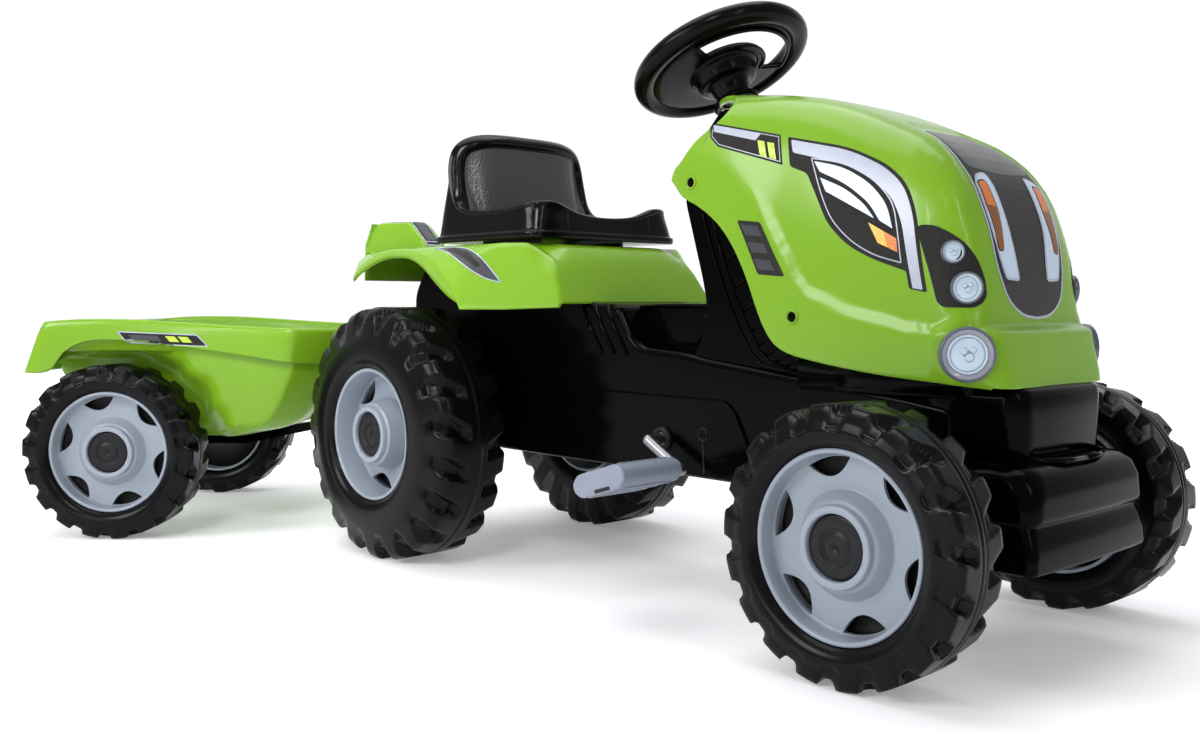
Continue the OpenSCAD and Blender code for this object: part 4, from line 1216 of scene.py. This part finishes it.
tilt = Vector((0, 0, 1)).rotation_difference(COLUMN).to_matrix().to_4x4()
ON_COLUMN = TRACTOR @ Matrix.Translation(WHEEL_AT * MM) @ tilt
ring = [(81 + 10.5 * math.cos(a), 10.5 * math.sin(a)) for a in
        [2 * math.pi * k / 28 for k in range(28)]]
turn("steering_ring", ring, ON_COLUMN, WHEEL, "steering", 128, nodes=["steering_wheel"],
     slot="wheel_black")
web = [(26, -13), (30, -11.2), (40, -9.6), (52, -8.8), (66, -8.2), (71.5, -7.4), (73.5, -6.4),
       (73, -3.6), (70, -4.0), (66, -4.8), (52, -5.4), (40, -6.0), (30, -6.2), (26, -6.4)]
o = turn("steering_web", web, Matrix.Diagonal((1, 1, 1, 1)), WHEEL, "steering", 120,
         slot="wheel_black")
crescent = round_corners(
    [(r * math.cos(math.radians(a)), r * math.sin(math.radians(a)))
     for r, angles in ((67.5, range(-70, 71, 5)), (42.5, range(70, -71, -5)))
     for a in angles], 4, 2)
carve(o, [prism(crescent, -30, 20, "xy")])
o.data.transform(ON_COLUMN)
piece("steering_lip", *sweep([(x, y, -9.6) for x, y in crescent], 1.9, 8, True), ON_COLUMN,
      WHEEL, "steering", slot="wheel_black")
hub = [(0.01, -44), (15, -44), (16.5, -43), (18.5, -34), (20.5, -27), (22.2, -25.6), (26.8, -25.2),
       (29.4, -24.2), (30.2, -22.4), (30.8, -15), (33, -12.6), (36, -11), (36, -7), (33.6, -3),
       (30, -1.2), (24, -0.4), (20.8, -0.6), (20.2, -1.6), (20.2, -7), (0.01, -7)]
turn("steering_hub", hub, ON_COLUMN, WHEEL, "steering", 96, slot="wheel_black")
horn = [(0.01, 3), (6, 2.9), (7, 2.2), (8, 2.9), (12, 2.7), (15.4, 2.1), (17.6, 1), (19.2, -0.6),
        (19.6, -2), (19.6, -4.4), (0.01, -4.4)]
turn("horn_dome", horn, ON_COLUMN, SATIN, "horn", 72, nodes=["horn_button"], slot="cap_black")

# ---- pedals ----

PEDAL_PITCH = math.radians(-17)
for name, side in SIDES:
    at = mid("pedal_" + name)
    frame_p = (Matrix.Translation(at) @ TRACTOR.to_3x3().to_4x4()
               @ Matrix.Rotation(PEDAL_PITCH, 4, "Y"))
    outline = round_corners([(-34, -4), (-26, -11), (26, -11), (34, -4), (34, 4), (26, 11),
                             (-26, 11), (-34, 4)], 5, 4)
    block("pedal_block_" + name, outline, -38, 38, frame_p, PEDAL, "pedal_" + name, "rim_grey",
          nodes=["pedal_" + name], bevel=2.4, angle=55)
    for face, z in (("top", 1), ("bottom", -1)):
        cells = []
        for i in range(-3, 4):
            for j in range(-4, 5):
                cx, cy = i * 7.4, j * 7.6 + (3.8 if i % 2 else 0)
                if abs(cy) <= 32:
                    cells.append([(cx + 3.7 * math.cos(a), cy + 3.7 * math.sin(a), z * 11.15)
                                  for a in [math.pi / 3 * k for k in range(7)]])
        tube_pieces("pedal_cells_%s_%s" % (face, name), cells, 0.42, PEDAL, "pedal_" + name,
                    "rim_grey", frame_p, 5)
    slot_shape = round_corners([(-10, -1.6), (10, -1.6), (10, 1.6), (-10, 1.6)], 1.2)
    block("pedal_slot_" + name, [(x + 4, y - 8.2) for x, y in slot_shape], side * 36.6,
          side * 38.25, frame_p, SATIN, "pedal_" + name, "cap_black")

# ---- trailer tub, one skin from the inside floor over the rim to the underside ----

TOP_HALF = [(-409, y, 265) for y in (0, 50, 100, 145)] + [
            (-409, 170, 265.2), (-407, 181, 265.5), (-400, 185.5, 266), (-390, 186, 266.8),
            (-378, 186, 267.6), (-362, 186, 268.4), (-335, 186, 268.8), (-300, 186, 268.4),
            (-265, 186, 267), (-230, 186, 264.8), (-196, 186, 262.6), (-165, 186, 260.6),
            (-135, 186, 259), (-111, 186, 258), (-97, 185, 257.4), (-88, 180, 257),
            (-70, 164, 256.4), (-54, 148, 256), (-46, 136, 256), (-43, 118, 256),
            ] + [(-42, y, 256) for y in (90, 60, 30, 0)]
LOW_HALF = [(-434, y, 203) for y in (0, 50, 100, 145)] + [
            (-434, 172, 203), (-432, 184, 203), (-423, 188.5, 203), (-408, 189, 203.4),
            (-394, 189, 209), (-380, 189, 228.5), (-352, 189, 242), (-312, 189, 243.6),
            (-272, 189, 240.4), (-234, 189, 235.6), (-200, 189, 231.4), (-168, 189, 227),
            (-138, 189, 222.4), (-113, 188.6, 218.4), (-99, 187, 216.8), (-92, 181, 216),
            (-76, 165, 214.6), (-60, 149, 213.6), (-53, 137, 213), (-51, 118, 213),
            ] + [(-50, y, 213) for y in (90, 60, 30, 0)]
HOPPER_FRONT = [(0.0, -52), (0.14, -54), (0.35, -66), (0.65, -88), (0.88, -120), (1.0, -176)]
HOPPER_REAR = [(0.0, -416), (0.2, -412), (0.5, -388), (0.8, -362), (1.0, -338)]


ARCH_X, ARCH_Z = -319, 107   # middle of the trailer's wheels


def hopper_ring(h, shrink_by=0.0, lift=0.0):
    """Section of the hopper at h, from 0 under the band to 1 at the bottom."""
    z = 222 - 103 * h
    front, back_x = follow(HOPPER_FRONT, h), follow(HOPPER_REAR, h)
    out = []
    for x0, y0, _ in closed(LOW_HALF):
        t = (x0 + 434) / 384
        x = back_x + shrink_by + (front - back_x - 2 * shrink_by) * t
        near = math.hypot(x - ARCH_X, z - ARCH_Z)
        bulge = smooth(near, 108, 136) * smooth(x, -310, -250)
        wide = 135 + 43 * bulge * (1 - 0.42 * h ** 1.5)
        tuck = 1 - 0.10 * smooth(h, 0.82, 1.0)
        y = y0 / 189 * (wide * tuck - shrink_by)
        out.append((x, y, z + lift))
    return out


tub_top = refine(closed(TOP_HALF), 2)
tub_low = refine(closed(LOW_HALF), 2)


def hopper(h, *more):
    return refine(hopper_ring(h, *more), 2)


def toward(ring, d):
    """Ring moved inwards in plan by d."""
    out = []
    for i, p in enumerate(ring):
        a, b = Vector(ring[i - 1]), Vector(ring[(i + 1) % len(ring)])
        t = Vector((b.x - a.x, b.y - a.y, 0)).normalized()
        nrm = Vector((-t.y, t.x, 0))
        if nrm.dot(Vector((-230 - p[0], -p[1], 0))) < 0:
            nrm = -nrm
        out.append(tuple(Vector(p) + nrm * d))
    return out


def lerp_ring(a, b, t):
    return [tuple(Vector(p).lerp(Vector(q), t)) for p, q in zip(a, b)]


def shift(ring, dz):
    return [(x, y, z + dz) for x, y, z in ring]


def scaled(ring, k, z):
    """Ring drawn in by k towards the middle of the tub's floor, at height z."""
    return [(-250 + (x + 250) * k, y * k, z) for x, y, _ in ring]


floor_in = hopper(1.0, 5, 4)
rings = [scaled(floor_in, k, floor_in[0][2]) for k in (0.04, 0.4, 0.75)] + [floor_in]
rings += [hopper(h, 3.2, 1) for h in (0.95, 0.85, 0.7, 0.5, 0.3, 0.12)]
rings.append(hopper(0.0, 3.2, 4))
inner_low = [(x if x > -390 else max(x, -404 + (x + 434) * 0.2), y, max(z, 228))
             for x, y, z in toward(tub_low, 9)]
rings.append([(p[0], p[1], 229) for p in toward(inner_low, 4)])
rings.append([(p[0], p[1], 231) for p in inner_low])
rings += [shift(toward(tub_top, 5), -6), shift(toward(tub_top, 3.6), -1.6),
          shift(toward(tub_top, 2.2), 0.2), shift(toward(tub_top, 0.8), 0.1),
          shift(toward(tub_top, -0.4), -1.2)]
for t, out in ((0.12, -1.6), (0.3, -1.9), (0.5, -1.4), (0.75, -0.7), (0.93, -0.2)):
    rings.append(toward(lerp_ring(tub_top, tub_low, t), out))
rings += [tub_low, shift(toward(tub_low, 1.4), -0.9), shift(toward(tub_low, 3.0), 0.6),
          shift(toward(tub_low, 4.2), 5)]
under = [(x, y, max(z, 224)) for x, y, z in shift(toward(tub_low, 8), 4)]
rings.append(lerp_ring(under, hopper(0.0), 0.45))
rings += [hopper(h) for h in (0.0, 0.05, 0.1, 0.16, 0.22, 0.28, 0.34, 0.4, 0.46, 0.52, 0.58,
                              0.64, 0.7, 0.76, 0.82, 0.87, 0.92, 0.96, 0.985, 1.0)]
rings += [scaled(hopper(1.0, 3), k, 119.0) for k in (0.99, 0.7, 0.3, 0.04)]
loft("tub_shell", rings, TRAILER, GREEN, "trailer", "body_green", nodes=["trailer_tub"])
for name, side in SIDES:
    arch = [(ARCH_X + 119.5 * math.cos(a), side * 136.5, ARCH_Z + 119.5 * math.sin(a))
            for a in [math.radians(8 + 88 * k / 24) for k in range(25)]]
    tube_pieces("wheel_arch_" + name, [[p for p in arch if p[2] < 222]], 2.2, GREEN, "trailer",
                "body_green", TRAILER)

tub_tree = tree_of(["tub_shell"], TRAILER)
LABEL = [(-312, 254), (-212, 250), (-198, 235), (-300, 239)]
for name, side in SIDES:
    stickers("tub_label_" + name, [
        (LABEL, FROST, 0.3), (shrink(LABEL, 1.3), INK, 0.45),
        ([(-298, 250), (-262, 248.6), (-256, 241.6), (-291, 243)], CARBON, 0.58),
        ([(-252, 248.2), (-240, 247.7), (-234, 240.8), (-246, 241.2)], LIME, 0.60),
        ([(-236, 247.5), (-224, 247), (-218, 240), (-230, 240.5)], LIME, 0.60)],
        tub_tree, flank_shoot(side, 260), 4.0, TRAILER, "trailer")

# ---- painted shade: dark discs behind the wheel slots stand in for the shadow inside the wheel ----

for name, side in SIDES:
    for kind, w, _, body in wheels_of(name, side):
        z = w - (48 if kind == "rear" else 34)
        shade_disc = [(14.2, z), (14.2, z - 2), (40, z - 2.4), (69.2, z - 2), (69.2, z + 1.4),
                     (66, z + 0.4), (40, z - 0.4)]
        # painted shade: a flat black disc behind each rim's slots, where the wheel's hollow lies in
        # shadow
        turn("%s_well_%s" % (kind, name), shade_disc, wheel_matrix(kind, side, w), INK, body, 72,
             slot="tyre_black")

# ---- materials of the CAD pieces that stay ----

for mat, nodes in (
        (BLACK, "front_beam hitch_bracket trailer_frame"),
        (NYLON, "rear_bushes column_bushes"),
        (STEEL, "kingpins crank_bushes drive_chain hitch_bracket_screws steering_column tie_rod "
                "knuckle_right knuckle_left stub_axle_right stub_axle_left crank_rod "
                "crank_sprocket rear_axle rear_sprocket axle_clips hitch_pin trailer_axle "
                "trailer_clips")):
    for node in nodes.split():
        for s in frame["nodes"][node].material_slots:
            s.material = mat

# ---- floor, light and camera ----

floor_mat = material("floor", (0.90, 0.90, 0.92), 0.60, (30, 0.02), vary=0.01, spec=0.2,
                     glow=0.24)


def graded(nt, coordinate, operation, start, end, low, high, target):
    """Drives a shader socket by one vector measure of a texture coordinate."""
    where = nt.nodes.new("ShaderNodeTexCoord")
    measure = nt.nodes.new("ShaderNodeVectorMath")
    measure.operation = operation
    nt.links.new(where.outputs[coordinate], measure.inputs[0])
    span = nt.nodes.new("ShaderNodeMapRange")
    for key, value in (("From Min", start), ("From Max", end), ("To Min", low),
                       ("To Max", high)):
        span.inputs[key].default_value = value
    nt.links.new(measure.outputs["Value"], span.inputs["Value"])
    nt.links.new(span.outputs["Result"], target)
    return measure


# the paper glows more away from the object, so it meets the backdrop without a line
paper = floor_mat.node_tree
graded(paper, "Object", "LENGTH", 0.7, 2.4, 0.26, 0.75,
       paper.nodes["Principled BSDF"].inputs["Emission Strength"])
me = bpy.data.meshes.new("floor")
FLOOR = 14   # half of its width in metres
me.from_pydata([(-FLOOR, -FLOOR, 0), (FLOOR, -FLOOR, 0), (FLOOR, FLOOR, 0), (-FLOOR, FLOOR, 0)],
               [], [(0, 1, 2, 3)])
floor = bpy.data.objects.new("floor", me)
bpy.context.scene.collection.objects.link(floor)
me.materials.append(floor_mat)

world = bpy.context.scene.world or bpy.data.worlds.new("world")
bpy.context.scene.world = world
world.use_nodes = True
nt = world.node_tree
back = nt.nodes["Background"]
back.inputs["Color"].default_value = (0.98, 0.99, 1.0, 1)
# the studio is bright behind the object and dimmer on its other side
behind = graded(nt, "Generated", "DOT_PRODUCT", 0.25, 0.75, 0.40, 1.05, back.inputs["Strength"])
behind.inputs[1].default_value = (*AWAY, 0)


def lamp(name, at, aim, size_x, size_y, power, spread=3.1):
    data = bpy.data.lights.new(name, "AREA")
    data.shape = "RECTANGLE"
    data.size, data.size_y, data.energy = size_x, size_y, power
    data.spread = spread
    o = bpy.data.objects.new(name, data)
    o.location = at
    o.rotation_euler = (Vector(aim) - Vector(at)).to_track_quat("-Z", "Y").to_euler()
    bpy.context.scene.collection.objects.link(o)


lamp("key", (-0.5, -2.4, 1.5), (0.0, 0, 0.2), 1.1, 0.9, 34)
lamp("top", (-0.2, 0.1, 2.6), (0.0, 0, 0.2), 2.6, 1.8, 40)
lamp("side strip", (0.5, -2.0, 0.9), (0.2, 0, 0.3), 0.06, 1.3, 6)
lamp("front strip", (2.3, -0.5, 1.5), (0.5, 0, 0.25), 0.06, 1.2, 5)
lamp("seat fill", (0.9, -1.1, 1.5), (-0.15, 0, 0.35), 0.5, 0.5, 0.9, 0.6)
lamp("hair strip", (-0.9, -0.9, 1.9), (-0.2, 0, 0.45), 0.08, 1.2, 1.0)

# the photograph's camera, solved from the wheels' round outlines
CAMERA_AT = (1.117813, -0.808873, 0.286467)
LENS_MM = 35.80
AZIMUTH, DOWN = 46.645, 3.348
cam_data = bpy.data.cameras.new("camera")
cam_data.lens = LENS_MM
cam_data.sensor_width = 36
cam_data.clip_start = 0.01
cam = bpy.data.objects.new("camera", cam_data)
cam.location = CAMERA_AT
az, down = math.radians(AZIMUTH), math.radians(DOWN)
look = Vector((-math.sin(az) * math.cos(down), math.cos(az) * math.cos(down), -math.sin(down)))
cam.rotation_euler = look.to_track_quat("-Z", "Y").to_euler()
bpy.context.scene.collection.objects.link(cam)
bpy.context.scene.camera = cam
bpy.context.scene.view_settings.view_transform = "Standard"
